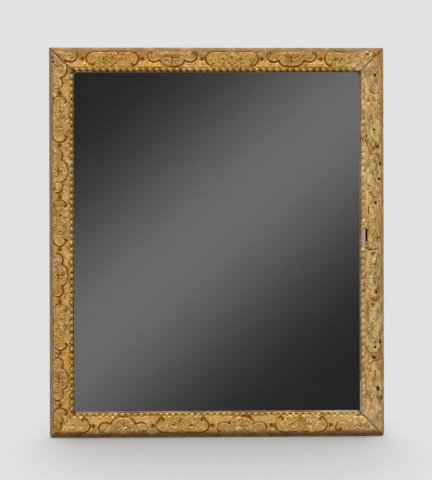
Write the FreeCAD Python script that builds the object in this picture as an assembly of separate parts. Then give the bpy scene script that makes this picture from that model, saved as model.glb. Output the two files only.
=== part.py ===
import FreeCAD, Part
import math
import os

from FreeCAD import Placement, Rotation, Vector

# Carved giltwood wall mirror, in millimetres. The front faces -Y and +Z is up.
# The origin is on the wall plane, in the middle of the backboard's back face.
# Each rail is drawn in its own frame: s along it, u from the outer edge inwards,
# v from its back towards the front. The rails run anticlockwise, seen from the front.

# Frame
overall_width = 550.0
overall_height = 640.0
rail_width = 40.0
outer_wall = 15.0
edge_width = 5.0
edge_crown = 1.1
edge_step = 0.8
frieze_level = 22.0
bead_width = 5.6
bead_crest = 2.4
bead_rise = 1.5
bead_pitch = 10.9
notch_width = 2.8
notch_floor = 0.25
lip_width = 2.0
lip_drop = 0.5
lip_cove = 0.6
lip_face = 3.5

# Strapwork carved on the frieze
strap_relief = 1.3
shell_relief = 0.7
carving_root = 0.6
frieze_margin = 1.5
band_width = 4.5
band_bulge = 7.0
band_return = 6.0
motif_gap = 10.0
stud_size = 3.0
shell_half_width = 5.5
shell_depth = 7.0
leaf_half_width = 9.0
leaf_depth = 10.0
fan_root_share = 0.5
fan_shoulder_share = 0.62
side_lobe_spring = 6.4
side_lobe_rise = 6.9
lobe_cleft = 4.0

# Where a cartouche is centred along each rail, and the step from motif to motif
top_cartouche = -24.8
top_step = 97.8
left_cartouche = -31.6
left_step = 85.0
bottom_cartouche = -57.4
bottom_step = 97.3
right_cartouche = 24.0
right_step = 85.0

# Corner keys
key_leg = 36.0
key_thickness = 3.0
key_level = 8.0

# Mirror plate, and the blocks that hold it in the rebate
rebate_width = 8.0
rebate_depth = 12.0
plate_thickness = 3.5
plate_clearance = 2.0
block_length = 45.0
block_width = 7.0
block_clearance = 1.0
short_rail_block_count = 2
long_rail_block_count = 3

# Backboard
board_thickness = 8.0
plank_gap = 0.4
plank_chamfer = 1.5
plank_count = 3
nail_head = 4.4
nail_head_height = 1.2
nail_sink = 0.3
nail_shank = 2.2
nail_tip = 1.0
board_nail_length = 20.0
nail_inset = 34.0
side_nail_count = 3

# Hangers, each a folded iron strap with a forged ring of square bar
hanger_height = 200.0
hanger_ply = 0.8
hanger_end = 7.5
ring_bar = 2.8
ring_inner_width = 12.6
ring_leg = 8.0
ring_corner = 2.8
ring_bore_clearance = 0.08
ring_clearance = 0.3
ring_side_room = 1.4
barrel_end_clearance = 0.4
hanger_nail_length = 13.0
hanger_nail_gap = 3.0

# How far cutting shapes run past what they cut
overshoot = 5.0

# Sizes worked out from those above
rebate_start = rail_width - rebate_width
lip_start = rail_width - lip_width
bead_start = lip_start - bead_width
sight_width = overall_width - 2 * rail_width
sight_height = overall_height - 2 * rail_width
ornament_start = edge_width + frieze_margin
ornament_end = bead_start - frieze_margin
plate_back = rebate_depth - plate_thickness
ring_bar_half = ring_bar / 2
ring_half_width = ring_inner_width / 2 + ring_bar_half
hanger_margin = 2 * (ring_half_width + ring_bar_half + ring_side_room)
board_width = overall_width - 2 * hanger_margin
plank_width = (board_width - (plank_count - 1) * plank_gap) / plank_count
strap_thickness = 2 * hanger_ply
barrel_bore = ring_bar_half + ring_bore_clearance
barrel_radius = barrel_bore + hanger_ply
ring_reach = ring_leg + ring_inner_width / 2
ring_lift = strap_thickness + ring_bar_half + ring_clearance - barrel_radius
ring_hang_angle = math.degrees(math.asin(ring_lift / ring_reach))
ring_bar_end = ring_half_width - ring_corner
hanger_half_width = ring_bar_end - barrel_end_clearance
upper_nail = (barrel_radius + ring_reach) / 2
lower_nail = ring_reach + ring_bar + hanger_nail_gap + nail_head / 2
hanger_length = lower_nail + hanger_end

# Rail name: length, where its middle sits, its s direction and its u direction
half_width, half_height = overall_width / 2, overall_height / 2
rails = {
    "top": (overall_width, Vector(0, 0, half_height), Vector(-1, 0, 0), Vector(0, 0, -1)),
    "left": (overall_height, Vector(-half_width, 0, 0), Vector(0, 0, -1), Vector(1, 0, 0)),
    "bottom": (overall_width, Vector(0, 0, -half_height), Vector(1, 0, 0), Vector(0, 0, 1)),
    "right": (overall_height, Vector(half_width, 0, 0), Vector(0, 0, 1), Vector(-1, 0, 0)),
}
front = Vector(0, -1, 0)
# Lays a section drawn in u and v so that its length runs along s
section_turn = Rotation(Vector(0, 1, 0), Vector(0, 0, 1), Vector(1, 0, 0), "XYZ")
carving_places = {
    "top": (top_cartouche, top_step),
    "left": (left_cartouche, left_step),
    "bottom": (bottom_cartouche, bottom_step),
    "right": (right_cartouche, right_step),
}


def prism(corners, low, high):
    """A prism on an outline of (x, y, rise) corners, listed anticlockwise.
    The side after a corner is straight, or an arc that stands out by rise."""
    edges = []
    for (x, y, rise), (next_x, next_y, _) in zip(corners, corners[1:] + corners[:1]):
        start, end = Vector(x, y, low), Vector(next_x, next_y, low)
        if rise:
            along = (end - start).normalize()
            crown = (start + end) / 2 + Vector(along.y, -along.x, 0) * rise
            edges.append(Part.Arc(start, crown, end).toShape())
        else:
            edges.append(Part.makeLine(start, end))
    return Part.Face(Part.Wire(edges)).extrude(Vector(0, 0, high - low))


def rail_frame(name):
    """The placement of a rail's own frame, with v = 0 on the rail's back."""
    _, middle, along, inwards = rails[name]
    back = middle + front * board_thickness
    return Placement(back, Rotation(along, inwards, front, "XYZ"))


def on_rail(name, solid):
    """A solid drawn in the rail's frame, moved to its place."""
    placed = solid.copy()
    placed.Placement = rail_frame(name).multiply(placed.Placement)
    return placed


def rail_blank(length):
    """The moulded length of a rail before it is carved and mitred."""
    lip_top = frieze_level - lip_drop
    bead_top = frieze_level + bead_rise
    bead_slope = (bead_width - bead_crest) / 2
    profile = [
        (0, 0, 0),
        (rebate_start, 0, 0),
        (rebate_start, rebate_depth, 0),
        (rail_width, rebate_depth, 0),
        (rail_width, rebate_depth + lip_face, -lip_cove),
        (lip_start, lip_top, 0),
        (lip_start - bead_slope, bead_top, 0),
        (bead_start + bead_slope, bead_top, 0),
        (bead_start, frieze_level, 0),
        (edge_width, frieze_level, 0),
        (edge_width, frieze_level - edge_step, edge_crown),
        (0, outer_wall, 0),
    ]
    blank = prism(profile, -length / 2 - overshoot, length / 2 + overshoot)
    blank.Placement = Placement(Vector(), section_turn)
    return blank


def raised(corners, extra=0.0):
    """Carving that stands on the frieze by the strapwork's relief."""
    return prism(corners, frieze_level - carving_root, frieze_level + strap_relief + extra)


def fan(spread, depth):
    """A shell or leaf that opens from a root at u = 0 to a half width of spread, and points to +u."""
    root, shoulder = fan_root_share * spread, fan_shoulder_share * depth
    outline = [(-root, 0, 0), (root, 0, 0), (spread, shoulder, 0), (0, depth, 0), (-spread, shoulder, 0)]
    return raised(outline, shell_relief)


def cartouche(half_length):
    """Two facing C-shaped bands, a shell between their roots and a leaf at the sight edge."""
    bend = half_length - band_bulge
    inner_bulge = band_bulge - band_width
    inner_start, inner_end = ornament_start + band_width, ornament_end - band_width
    band = raised(
        [
            (shell_half_width / 2, ornament_start, 0),
            (bend, ornament_start, band_bulge),
            (bend, ornament_end, 0),
            (bend - band_return, ornament_end, 0),
            (bend - band_return / 2, inner_end, 0),
            (bend, inner_end, -inner_bulge),
            (bend, inner_start, 0),
            (shell_half_width / 2, inner_start, 0),
        ]
    )
    shell = fan(shell_half_width, shell_depth)
    shell.translate(Vector(0, ornament_start, 0))
    leaf = fan(leaf_half_width, leaf_depth)
    leaf.rotate(Vector(), Vector(0, 0, 1), 180)
    leaf.translate(Vector(0, ornament_end, 0))
    return [band, band.mirror(Vector(), Vector(1, 0, 0)), shell, leaf]


def lambrequin(half_length):
    """A hanging of three lobes, the middle one long, with a shell at its root."""
    centre_half = half_length / 2
    side_spring = ornament_start + side_lobe_spring
    centre_spring = side_spring + lobe_cleft
    centre_rise = ornament_end - centre_spring
    hanging = raised(
        [
            (-half_length, ornament_start, 0),
            (half_length, ornament_start, 0),
            (half_length, side_spring, side_lobe_rise),
            (centre_half, side_spring, 0),
            (centre_half, centre_spring, centre_rise),
            (-centre_half, centre_spring, 0),
            (-centre_half, side_spring, side_lobe_rise),
            (-half_length, side_spring, 0),
        ]
    )
    shell = fan(shell_half_width, shell_depth)
    shell.translate(Vector(0, ornament_start, 0))
    return [hanging, shell]


def stud():
    """The lozenge that links two motifs, at the middle of the frieze."""
    middle = (ornament_start + ornament_end) / 2
    return raised(
        [
            (-stud_size, middle, 0),
            (0, middle - stud_size, 0),
            (stud_size, middle, 0),
            (0, middle + stud_size, 0),
        ]
    )


def strapwork(length, cartouche_place, step):
    """Cartouches and lambrequins by turns, with studs between, from mitre to mitre."""
    half_length = (step - motif_gap) / 2
    motifs = [cartouche(half_length), lambrequin(half_length)]
    reach = length / 2 + half_length
    first = math.ceil((-reach - cartouche_place) / step)
    last = math.floor((reach - cartouche_place) / step)
    carving = []
    for turn in range(first, last + 1):
        place = cartouche_place + turn * step
        for solid in motifs[turn % 2]:
            carving.append(solid.translated(Vector(place, 0, 0)))
        carving.append(stud().translated(Vector(place + step / 2, 0, 0)))
    return carving


def bead_notches(length):
    """The V cuts that part the round at the sight edge into beads."""
    top = frieze_level + bead_rise + overshoot
    floor = frieze_level + notch_floor
    spread = notch_width / 2 * (top - floor) / (frieze_level + bead_rise - floor)
    cutter = prism([(0, floor, 0), (spread, top, 0), (-spread, top, 0)], 0, bead_width + 2 * lip_width)
    # Drawn in s and v, the cutter is turned to run along u
    cutter.Placement = Placement(Vector(0, lip_start + lip_width, 0), Rotation(Vector(1, 0, 0), 90))
    count = math.ceil((length - 2 * bead_start) / bead_pitch / 2)
    return [cutter.translated(Vector((i + 0.5) * bead_pitch, 0, 0)) for i in range(-count, count)]


def mitre_trim(length):
    """The wedge-ended block that a rail is cut back to."""
    corner, far = length / 2 + overshoot, rail_width + overshoot
    near_end = length / 2 - rail_width - overshoot
    outline = [(-corner, -overshoot, 0), (corner, -overshoot, 0), (near_end, far, 0), (-near_end, far, 0)]
    return prism(outline, -overshoot, frieze_level + 2 * overshoot)


def carved_rail(name, let_in):
    """A rail with its carving, mitred, and cut for the keys and nails in it."""
    length = rails[name][0]
    rail = rail_blank(length).fuse(strapwork(length, *carving_places[name]))
    rail = rail.removeSplitter().cut(bead_notches(length)).common(mitre_trim(length))
    return on_rail(name, rail).cut(let_in).removeSplitter()


def corner_key(side, height):
    """A three-cornered key let into two rails at a corner. side and height are -1 or 1."""
    corner = Vector(side * half_width, 0, height * half_height)
    legs = [corner, corner - Vector(side * key_leg, 0, 0), corner - Vector(0, 0, height * key_leg)]
    face = Part.Face(Part.makePolygon(legs + legs[:1]))
    face.translate(front * (board_thickness + key_level))
    return face.extrude(front * key_thickness)


def mirror_plate():
    """The silvered glass, against the back of the lip."""
    lap = rebate_width - plate_clearance
    width, height = sight_width + 2 * lap, sight_height + 2 * lap
    front_face = board_thickness + rebate_depth
    return Part.makeBox(width, plate_thickness, height, Vector(-width / 2, -front_face, -height / 2))


def plate_blocks():
    """Softwood blocks glued in the rebate, behind the plate."""
    block_height = plate_back - block_clearance
    wall, foot = rebate_start, plate_back
    outline = [(wall, foot, 0), (wall, foot - block_height, 0), (wall + block_width, foot, 0)]
    block = prism(outline, -block_length / 2, block_length / 2)
    blocks = []
    for name, (length, _, _, _) in rails.items():
        count = short_rail_block_count if name in ("top", "bottom") else long_rail_block_count
        spacing = (length - 2 * rail_width) / count
        for i in range(count):
            block.Placement = Placement(Vector((i - (count - 1) / 2) * spacing, 0, 0), section_turn)
            blocks.append(on_rail(name, block))
    return blocks


def nail(length, head_room=0.0):
    """A cut nail along +v with the underside of its square head at v = 0.
    head_room lengthens the head backwards, for the recess that it sits in."""
    half_head, head_height = nail_head / 2, nail_head_height + head_room
    head = Part.makeBox(nail_head, nail_head, head_height, Vector(-half_head, -half_head, -head_height))
    root, point = nail_shank / 2, nail_tip / 2
    shank = Part.makeWedge(-root, 0, -root, -point, -point, root, length, root, point, point)
    shank.rotate(Vector(), Vector(1, 0, 0), 90)
    return head.fuse(shank).removeSplitter()


def board_nail(rail_name, s, head_room=0.0):
    """A nail through the backboard into a rail, its head sunk a little below the board's back."""
    solid = nail(board_nail_length, head_room)
    seat = nail_sink + nail_head_height - board_thickness
    solid.translate(Vector(s, (hanger_margin + rebate_start) / 2, seat))
    return on_rail(rail_name, solid)


def nail_places():
    """Rail names and places along them: two nails in each plank end, some down the sides."""
    places = []
    for plank in range(plank_count):
        middle = (plank - (plank_count - 1) / 2) * (plank_width + plank_gap)
        for side in (-1, 1):
            x = middle + side * (plank_width / 2 - nail_inset)
            places += [("top", -x), ("bottom", x)]
    for i in range(side_nail_count):
        z = (i - (side_nail_count - 1) / 2) * sight_height / side_nail_count
        places += [("left", -z), ("right", z)]
    return places


def plank(index, nail_recesses):
    """One upright plank of the backboard, with its rear arrises taken off."""
    height = overall_height - 2 * hanger_margin
    x = -board_width / 2 + index * (plank_width + plank_gap)
    board = Part.makeBox(plank_width, board_thickness, height, Vector(x, -board_thickness, -height / 2))
    rear_face = max(board.Faces, key=lambda face: face.CenterOfMass.y)
    return board.makeChamfer(plank_chamfer, rear_face.Edges).cut(nail_recesses)


def hanger_place(side):
    """The middle of a hanger's barrel, on the rail's back."""
    x = side * (half_width - hanger_margin / 2)
    return Vector(x, barrel_radius - board_thickness, hanger_height)


def hanger_nail(rail_name, side, drop):
    """A nail through a hanger's strap into the rail's back."""
    solid = nail(hanger_nail_length)
    s = side * (hanger_height - drop)
    solid.translate(Vector(s, hanger_margin / 2, -strap_thickness))
    return on_rail(rail_name, solid)


def hanger_strap(side, nails):
    """A strap folded round the ring's bar, with a pointed lower end."""
    half, width = hanger_half_width, 2 * hanger_half_width
    shoulder = half - hanger_length
    outline = [(0, -hanger_length, 0), (half, shoulder, 0), (half, 0, 0), (-half, 0, 0), (-half, shoulder, 0)]
    strap = prism(outline, 0, strap_thickness)
    strap.rotate(Vector(), Vector(1, 0, 0), 90)
    strap.translate(Vector(0, strap_thickness - barrel_radius, 0))
    across, start = Vector(1, 0, 0), Vector(-half, 0, 0)
    barrel = Part.makeCylinder(barrel_radius, width, start, across)
    bore = Part.makeCylinder(barrel_bore, width, start, across)
    hanger = strap.fuse(barrel).removeSplitter().cut(bore)
    hanger.translate(hanger_place(side))
    return hanger.cut(nails)


def ring_outline(inset):
    """The ring's D outline, inset from its outer edge, with the axis at y = 0."""
    half = ring_half_width + ring_bar_half - inset
    top = ring_bar_half - inset
    corner = ring_corner + ring_bar_half - inset
    # The middle of a quarter arc stands out from its chord by this much
    bulge = corner * (1 - math.sqrt(0.5))
    return [
        (-half, -ring_leg, half),
        (half, -ring_leg, 0),
        (half, top - corner, bulge),
        (half - corner, top, 0),
        (corner - half, top, bulge),
        (-half, top - corner, 0),
    ]


def hanging_ring(side):
    """A forged D ring, rounded where it turns in the strap, hanging just clear of the strap."""
    bar_length = 2 * ring_bar_end
    ring = prism(ring_outline(0), -ring_bar_half, ring_bar_half)
    ring = ring.cut(prism(ring_outline(ring_bar), -ring_bar_half, ring_bar_half))
    start = Vector(-ring_bar_end, -ring_bar_half, -ring_bar_half)
    ring = ring.cut(Part.makeBox(bar_length, ring_bar, ring_bar, start))
    across = Vector(1, 0, 0)
    ring = ring.fuse(Part.makeCylinder(ring_bar_half, bar_length, across * -ring_bar_end, across))
    ring.rotate(Vector(), Vector(1, 0, 0), 90 + ring_hang_angle)
    ring.translate(hanger_place(side))
    return ring


def build():
    """Every piece of the mirror by its name."""
    pieces = {}
    keys = {}
    for height_name, height in (("top", 1), ("bottom", -1)):
        for side_name, side in (("left", -1), ("right", 1)):
            keys[f"corner_key_{height_name}_{side_name}"] = corner_key(side, height)
    board_nails = [board_nail(name, s) for name, s in nail_places()]
    recesses = [board_nail(name, s, overshoot) for name, s in nail_places()]
    sides = {"left": -1, "right": 1}
    hanger_nails = {
        name: [hanger_nail(name, side, drop) for drop in (upper_nail, lower_nail)]
        for name, side in sides.items()
    }
    let_in = list(keys.values()) + board_nails + hanger_nails["left"] + hanger_nails["right"]
    for name in rails:
        pieces[f"{name}_rail"] = carved_rail(name, let_in)
    pieces.update(keys)
    pieces["mirror_plate"] = mirror_plate()
    pieces["plate_blocks"] = Part.makeCompound(plate_blocks())
    for index in range(plank_count):
        pieces[f"backboard_plank_{index + 1}"] = plank(index, recesses)
    pieces["backboard_nails"] = Part.makeCompound(board_nails)
    for name, side in sides.items():
        pieces[f"{name}_hanger_strap"] = hanger_strap(side, hanger_nails[name])
        pieces[f"{name}_hanging_ring"] = hanging_ring(side)
    pieces["hanger_nails"] = Part.makeCompound(hanger_nails["left"] + hanger_nails["right"])
    return pieces


os.makedirs("parts", exist_ok=True)
for piece_name, piece in build().items():
    piece.exportStep(f"parts/{piece_name}.step")
    print(piece_name, len(piece.Solids), "solids,", round(piece.Volume), "mm3, valid", piece.isValid())
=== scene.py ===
# %% [markdown]
# A carved giltwood mirror.
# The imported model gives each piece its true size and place, and this lesson dresses it: the carving, the
# worn gilding, the old glass, the planks and the iron on the back. The carving is worked out in
# millimetres, as a carver would measure it, and the scene is in metres.

# %% Load the frame
import math

import bmesh
import bpy
import numpy as np
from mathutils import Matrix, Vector


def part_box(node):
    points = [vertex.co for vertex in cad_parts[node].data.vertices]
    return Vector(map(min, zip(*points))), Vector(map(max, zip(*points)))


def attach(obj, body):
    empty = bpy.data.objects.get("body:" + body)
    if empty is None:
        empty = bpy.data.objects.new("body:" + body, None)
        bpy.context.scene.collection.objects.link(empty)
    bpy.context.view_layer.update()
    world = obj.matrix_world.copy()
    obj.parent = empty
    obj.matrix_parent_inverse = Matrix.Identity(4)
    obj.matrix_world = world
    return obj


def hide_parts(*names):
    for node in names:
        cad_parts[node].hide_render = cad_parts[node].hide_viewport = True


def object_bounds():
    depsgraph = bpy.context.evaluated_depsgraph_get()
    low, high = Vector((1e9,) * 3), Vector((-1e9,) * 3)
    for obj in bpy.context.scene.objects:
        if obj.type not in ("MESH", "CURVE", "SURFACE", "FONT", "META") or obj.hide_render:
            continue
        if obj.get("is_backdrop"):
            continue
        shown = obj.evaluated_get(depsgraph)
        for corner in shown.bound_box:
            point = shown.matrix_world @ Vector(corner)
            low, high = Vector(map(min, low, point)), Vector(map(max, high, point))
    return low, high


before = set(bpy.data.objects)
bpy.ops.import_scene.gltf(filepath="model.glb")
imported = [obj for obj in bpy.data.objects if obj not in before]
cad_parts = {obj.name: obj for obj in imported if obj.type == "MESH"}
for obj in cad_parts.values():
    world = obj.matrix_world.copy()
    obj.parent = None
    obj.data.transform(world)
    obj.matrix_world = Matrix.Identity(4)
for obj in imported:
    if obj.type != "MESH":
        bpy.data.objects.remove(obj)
cad_low, cad_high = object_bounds()
print("the packed model measures", [round(v, 4) for v in cad_high - cad_low], "m")

# %% Measures that the frame gives
MM = 0.001
overall_width, _, overall_height = (cad_high - cad_low) / MM
rail_low, rail_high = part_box("left_rail")
rail_width = (rail_high.x - rail_low.x) / MM
rail_back = rail_high.y / MM
rebate_depth = rail_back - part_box("mirror_plate")[0].y / MM
print("rails are", round(rail_width, 2), "mm wide, with a rebate", round(rebate_depth, 2), "mm deep")

# %% [markdown]
# The rails.
# Each rail has its own frame: s runs along it, u from the outer edge towards the glass, v from its back
# to the front. The rails run anticlockwise, seen from the front. One could carve in world axes, but then
# every motif would be drawn four times.

# %% Rail frames
half_width, half_height = overall_width / 2, overall_height / 2
# Length, middle of the outer edge, and the directions of s and u, each as x and z
rails = {
    "top": (overall_width, (0, half_height), (-1, 0), (0, -1)),
    "left": (overall_height, (-half_width, 0), (0, -1), (1, 0)),
    "bottom": (overall_width, (0, -half_height), (1, 0), (0, 1)),
    "right": (overall_height, (half_width, 0), (0, 1), (-1, 0)),
}


def by_rail(*values):
    """A value for each rail: top, left, bottom and right."""
    return dict(zip(rails, values))


print("rails:", {name: round(rail[0]) for name, rail in rails.items()}, "mm long")

# %% [markdown]
# The sight edge.
# The opening for the glass is never quite true in a hand-made frame. Here the bottom rail's lip stands
# further in than the others, and the lip is rounded at three of the inner corners. A lattice could bend
# the finished mesh, but bending each rail's own frame near the glass takes only a line or two.

# %% Points of a rail
sight_shift = by_rail(0.0, 0.0, 2.2, -0.8)
shift_rows, shift_reach = (28.0, 33.0), 4.0
# How far the lip is rounded off at the start and at the end of each rail
sight_round = by_rail((0.7, 1.5), (1.5, 0.7), (0.7, 0.0), (0.0, 0.7))
round_rows, round_reach = (37.0, 39.5), 6.0


def ease(value, low, high):
    """0 below low, 1 above high, and smooth between."""
    t = np.clip((value - low) / (high - low), 0, 1)
    return t * t * (3 - 2 * t)


def rail_points(name, s, u, v):
    """Points of a rail's own frame in the scene, in millimetres."""
    length, (x0, z0), (along_x, along_z), (in_x, in_z) = rails[name]
    from_mitre = length / 2 - u - np.abs(s)
    u = u + sight_shift[name] * ease(u, *shift_rows) * ease(from_mitre, 0.0, shift_reach)
    first, last = sight_round[name]
    rounding = np.where(s < 0, first, last) * ease(u, *round_rows) * ease(-from_mitre, -round_reach, 0.0)
    s, u = s - np.sign(s) * rounding, u + rounding
    x = x0 + s * along_x + u * in_x
    z = z0 + s * along_z + u * in_z
    return np.stack([x, rail_back - v, z], axis=-1)


print("the bottom rail's lip ends at z =", rail_points("bottom", 0.0, rail_width, 0.0)[2].round(2), "mm")

# %% [markdown]
# The hand of the carver.
# Nothing on a carved frame is quite straight or quite even, so lines wander and surfaces swell a little.
# A random number for each vertex would only look rough. Here random numbers stand at the corners of a
# coarse grid and are eased together, which gives smooth waves of any length, the same on each run.

# %% Smooth random waves
LATTICE = (512, 64)


def hand_waves(s, u, length, seed):
    """Smooth random waves from -1 to 1, about length millimetres long."""
    lattice = np.random.default_rng(seed).uniform(-1, 1, LATTICE)
    i, j = np.floor(s / length).astype(int), np.floor(u / length).astype(int)
    a, b = s / length - i, u / length - j
    a, b = a * a * (3 - 2 * a), b * b * (3 - 2 * b)
    i, j = i % (LATTICE[0] - 1), j % (LATTICE[1] - 1)
    near = lattice[i, j] * (1 - b) + lattice[i, j + 1] * b
    far = lattice[i + 1, j] * (1 - b) + lattice[i + 1, j + 1] * b
    return near * (1 - a) + far * a


print("a wave, millimetre by millimetre:", hand_waves(np.arange(8.0), np.zeros(8), 4.0, 1).round(2))

# %% [markdown]
# Lines for the carver to follow.
# A scroll is a smooth line through a few points. Blender's own curves need handles, or pass beside their
# points. The curve used here goes through all its points, so they can be read straight off a drawing. The
# distance from such a line then gives the shape of a groove or a roll.

# %% Lines and distances
def scroll_line(*points, steps=7):
    """A smooth line through the points."""
    p = np.array([points[0], *points, points[-1]], float)
    t = np.linspace(0, 1, steps, endpoint=False)[:, None]
    spans = []
    for a, b, c, d in zip(p, p[1:], p[2:], p[3:]):
        bend = (2 * a - 5 * b + 4 * c - d) * t**2 + (3 * b - a - 3 * c + d) * t**3
        spans.append((2 * b + (c - a) * t + bend) / 2)
    return np.vstack([*spans, p[-1:]])


def distance_to(line, x, y):
    """How far each point of a tile is from a line."""
    nearest = np.full(x.shape, np.inf)
    for (ax, ay), (bx, by) in zip(line, line[1:]):
        dx, dy = bx - ax, by - ay
        length = max(dx * dx + dy * dy, 1e-9)
        share = np.clip(((x - ax) * dx + (y - ay) * dy) / length, 0, 1)
        nearest = np.minimum(nearest, np.hypot(x - ax - share * dx, y - ay - share * dy))
    return nearest


def inside_of(outline, x, y):
    """True for the points inside a closed outline."""
    crossed = np.zeros(x.shape, bool)
    for (ax, ay), (bx, by) in zip(outline, np.roll(outline, -1, axis=0)):
        if ay == by:
            continue
        spans = (ay > y) != (by > y)
        crossed ^= spans & (x < ax + (y - ay) / (by - ay) * (bx - ax))
    return crossed


def hump(value, width):
    """1 where value is 0, falling off smoothly to nothing within about two widths."""
    return np.exp(-((value / width) ** 2))


print("a scroll through three points has", len(scroll_line((0, 0), (4, 3), (8, 0))), "points")

# %% [markdown]
# The rail's section.
# A rounded outer edge, a step, a flat frieze for the strapwork, a raised row at the sight edge, and a
# hollow lip down to the glass. A curve could be swept along the rail. As a height for each u, the section
# is easier to work on, because the carving can simply be added to it.

# %% The moulded section
outer_wall = 15.0
edge_width = 5.0
edge_top = 21.2
edge_round = 1.7
frieze_level = 22.0
bead_start = 32.4
lip_start = 38.0
lip_top = 21.5
lip_foot = 15.5
lip_hollow = 0.75


def moulded_height(u):
    """The rail's height over its back before any carving."""
    edge = edge_top - (edge_top - outer_wall) * np.clip(1 - u / edge_width, 0, 1) ** edge_round
    frieze = edge + (frieze_level - edge_top) * ease(u, edge_width - 0.1, edge_width + 0.5)
    fall = np.clip((u - lip_start) / (rail_width - lip_start), 0, 1) ** lip_hollow
    lip = lip_top - (lip_top - lip_foot) * fall
    return np.where(u < lip_start, frieze, lip)


sample_rows = np.array([0.0, edge_width, 20.0, rail_width])
print("the section is", moulded_height(sample_rows).round(1), "mm high at", sample_rows.round(1))

# %% [markdown]
# A tile of ornament.
# The strapwork is two motifs by turns, so each is carved once on its own tile and then set out along the
# rails. Sculpting could do it by hand, but a tile of heights can be stretched, worn and carved again. Its
# layers are the relief, how deep the cuts are, which later tells the gilding where the dark red clay and
# the painted shade show, what is hatched, where highlights are painted, and how dark the painted shade in
# each drilled eye is. x is taken without its sign, so both halves match.

# %% The carving tools
TILE_STEP = 0.25
tile_margin = 5.0
tile_layers = ("relief", "cuts", "panels", "hatching", "drapery", "shine", "black")


class Tile:
    """A motif carved on a flat tile, in millimetres from its centre and from the rail's outer edge."""

    def __init__(self, half_length, ink=(0.68, 0.5)):
        self.half_length = half_length
        self.reach = half_length + tile_margin
        # How dark its cuts are with clay, dirt and painted shade, and how much that varies
        self.ink = ink
        signed = np.arange(-self.reach, self.reach + TILE_STEP, TILE_STEP)
        x, self.y = np.meshgrid(signed, np.arange(edge_width, bead_start + 1.0, TILE_STEP))
        self.x = np.abs(x)
        for layer in tile_layers:
            setattr(self, layer, np.zeros(x.shape))

    def lay(self, layer, values):
        """Lays values over a layer, where they are higher."""
        setattr(self, layer, np.maximum(getattr(self, layer), values))

    def away(self, line):
        """How far each point is from a line."""
        return distance_to(line, self.x, self.y)

    def panel(self, outline, rise, slope):
        """Raises the inside of an outline, and returns how far inside each point is."""
        away = self.away(np.vstack([outline, outline[:1]]))
        depth = np.where(inside_of(outline, self.x, self.y), away, -away)
        self.relief += rise * ease(depth, 0, slope)
        self.lay("panels", ease(depth, -0.3, 0.3))
        return depth

    def cut(self, line, width, depth, darkness=1.0):
        """A groove along a line."""
        groove = hump(self.away(line), width)
        self.relief -= depth * groove
        self.lay("cuts", darkness * groove)

    def roll(self, line, width, rise, cheek):
        """A rounded ridge along a line, with a painted highlight on its crown and a shallow cut down each
        cheek.
        """
        away = self.away(line)
        crown = np.clip(1 - (away / width) ** 2, 0, 1)
        beside = hump(away - width - 0.35, 0.45)
        self.relief += rise * np.sqrt(crown)
        self.relief -= 0.3 * beside
        self.lay("shine", crown)
        self.lay("cuts", cheek * beside)

    def pit(self, x, y, radius, depth, black=0.2):
        """A drilled eye, its bottom painted dark as shade. black is how dark that painted shade is."""
        hole = hump(np.hypot(self.x - x, self.y - y), radius)
        self.relief -= depth * hole
        self.lay("cuts", hole)
        self.lay("black", black * hole**2)

    def knob(self, x, y, radius, rise):
        """A small round boss, with a painted highlight on its crown."""
        crown = np.clip(1 - (np.hypot(self.x - x, self.y - y) / radius) ** 2, 0, 1)
        self.relief += rise * np.sqrt(crown)
        self.lay("shine", crown)

    def rim(self, edge, inset, width, depth):
        """A raised line inside a panel, with a painted highlight. edge is each point's distance from the
        panel's edge.
        """
        line = hump(edge - inset, width) * (depth > 0)
        self.relief += 0.7 * line
        self.lay("shine", 0.8 * line)

    def fan(self, y, length, direction, ribs, rise):
        """A shell or palmette: ribs spread from a root on the tile's centre line, with painted highlights.
        """
        rise_y = (self.y - y) * direction
        reach = np.hypot(self.x, rise_y)
        angle = np.arctan2(self.x, np.maximum(rise_y, 1e-6))
        rib = np.abs(np.cos(angle * ribs / 2))
        edge = length * (0.86 + 0.14 * rib)
        within = ease(edge - reach, 0, 0.9) * (rise_y > 0)
        self.relief = self.relief * (1 - within) + within * rise * (0.35 + 0.65 * rib) * ease(reach, 0, 3)
        self.lay("shine", within * ease(rib, 0.55, 1.0) * ease(reach, 2.0, 4.0))
        between = (1 - ease(rib, 0.05, 0.55)) * within * ease(reach, 1.0, 3.0)
        rim = hump(reach - edge - 0.2, 0.55) * (rise_y > 0)
        self.relief -= 0.45 * rim
        self.lay("cuts", np.maximum(0.85 * between, 0.8 * rim))


print("a tile has the layers", ", ".join(tile_layers))

# %% [markdown]
# The cartouche.
# Two C-shaped bands face each other from a shell at the outer edge. They run out to a blunt point, turn
# back and end in hooks at the sight edge. Between them are two small volutes, a palmette, and fine
# cross-hatching. Bevelled curves would give clean tubes. Strokes cut into a tile cross and fade as a
# gouge's do.

# %% Carve the cartouche
panel_rise, panel_slope = 0.9, 1.4
outline_width, outline_depth = 1.65, 1.3
hatch_pitch, hatch_slant = 3.7, 0.9


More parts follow.
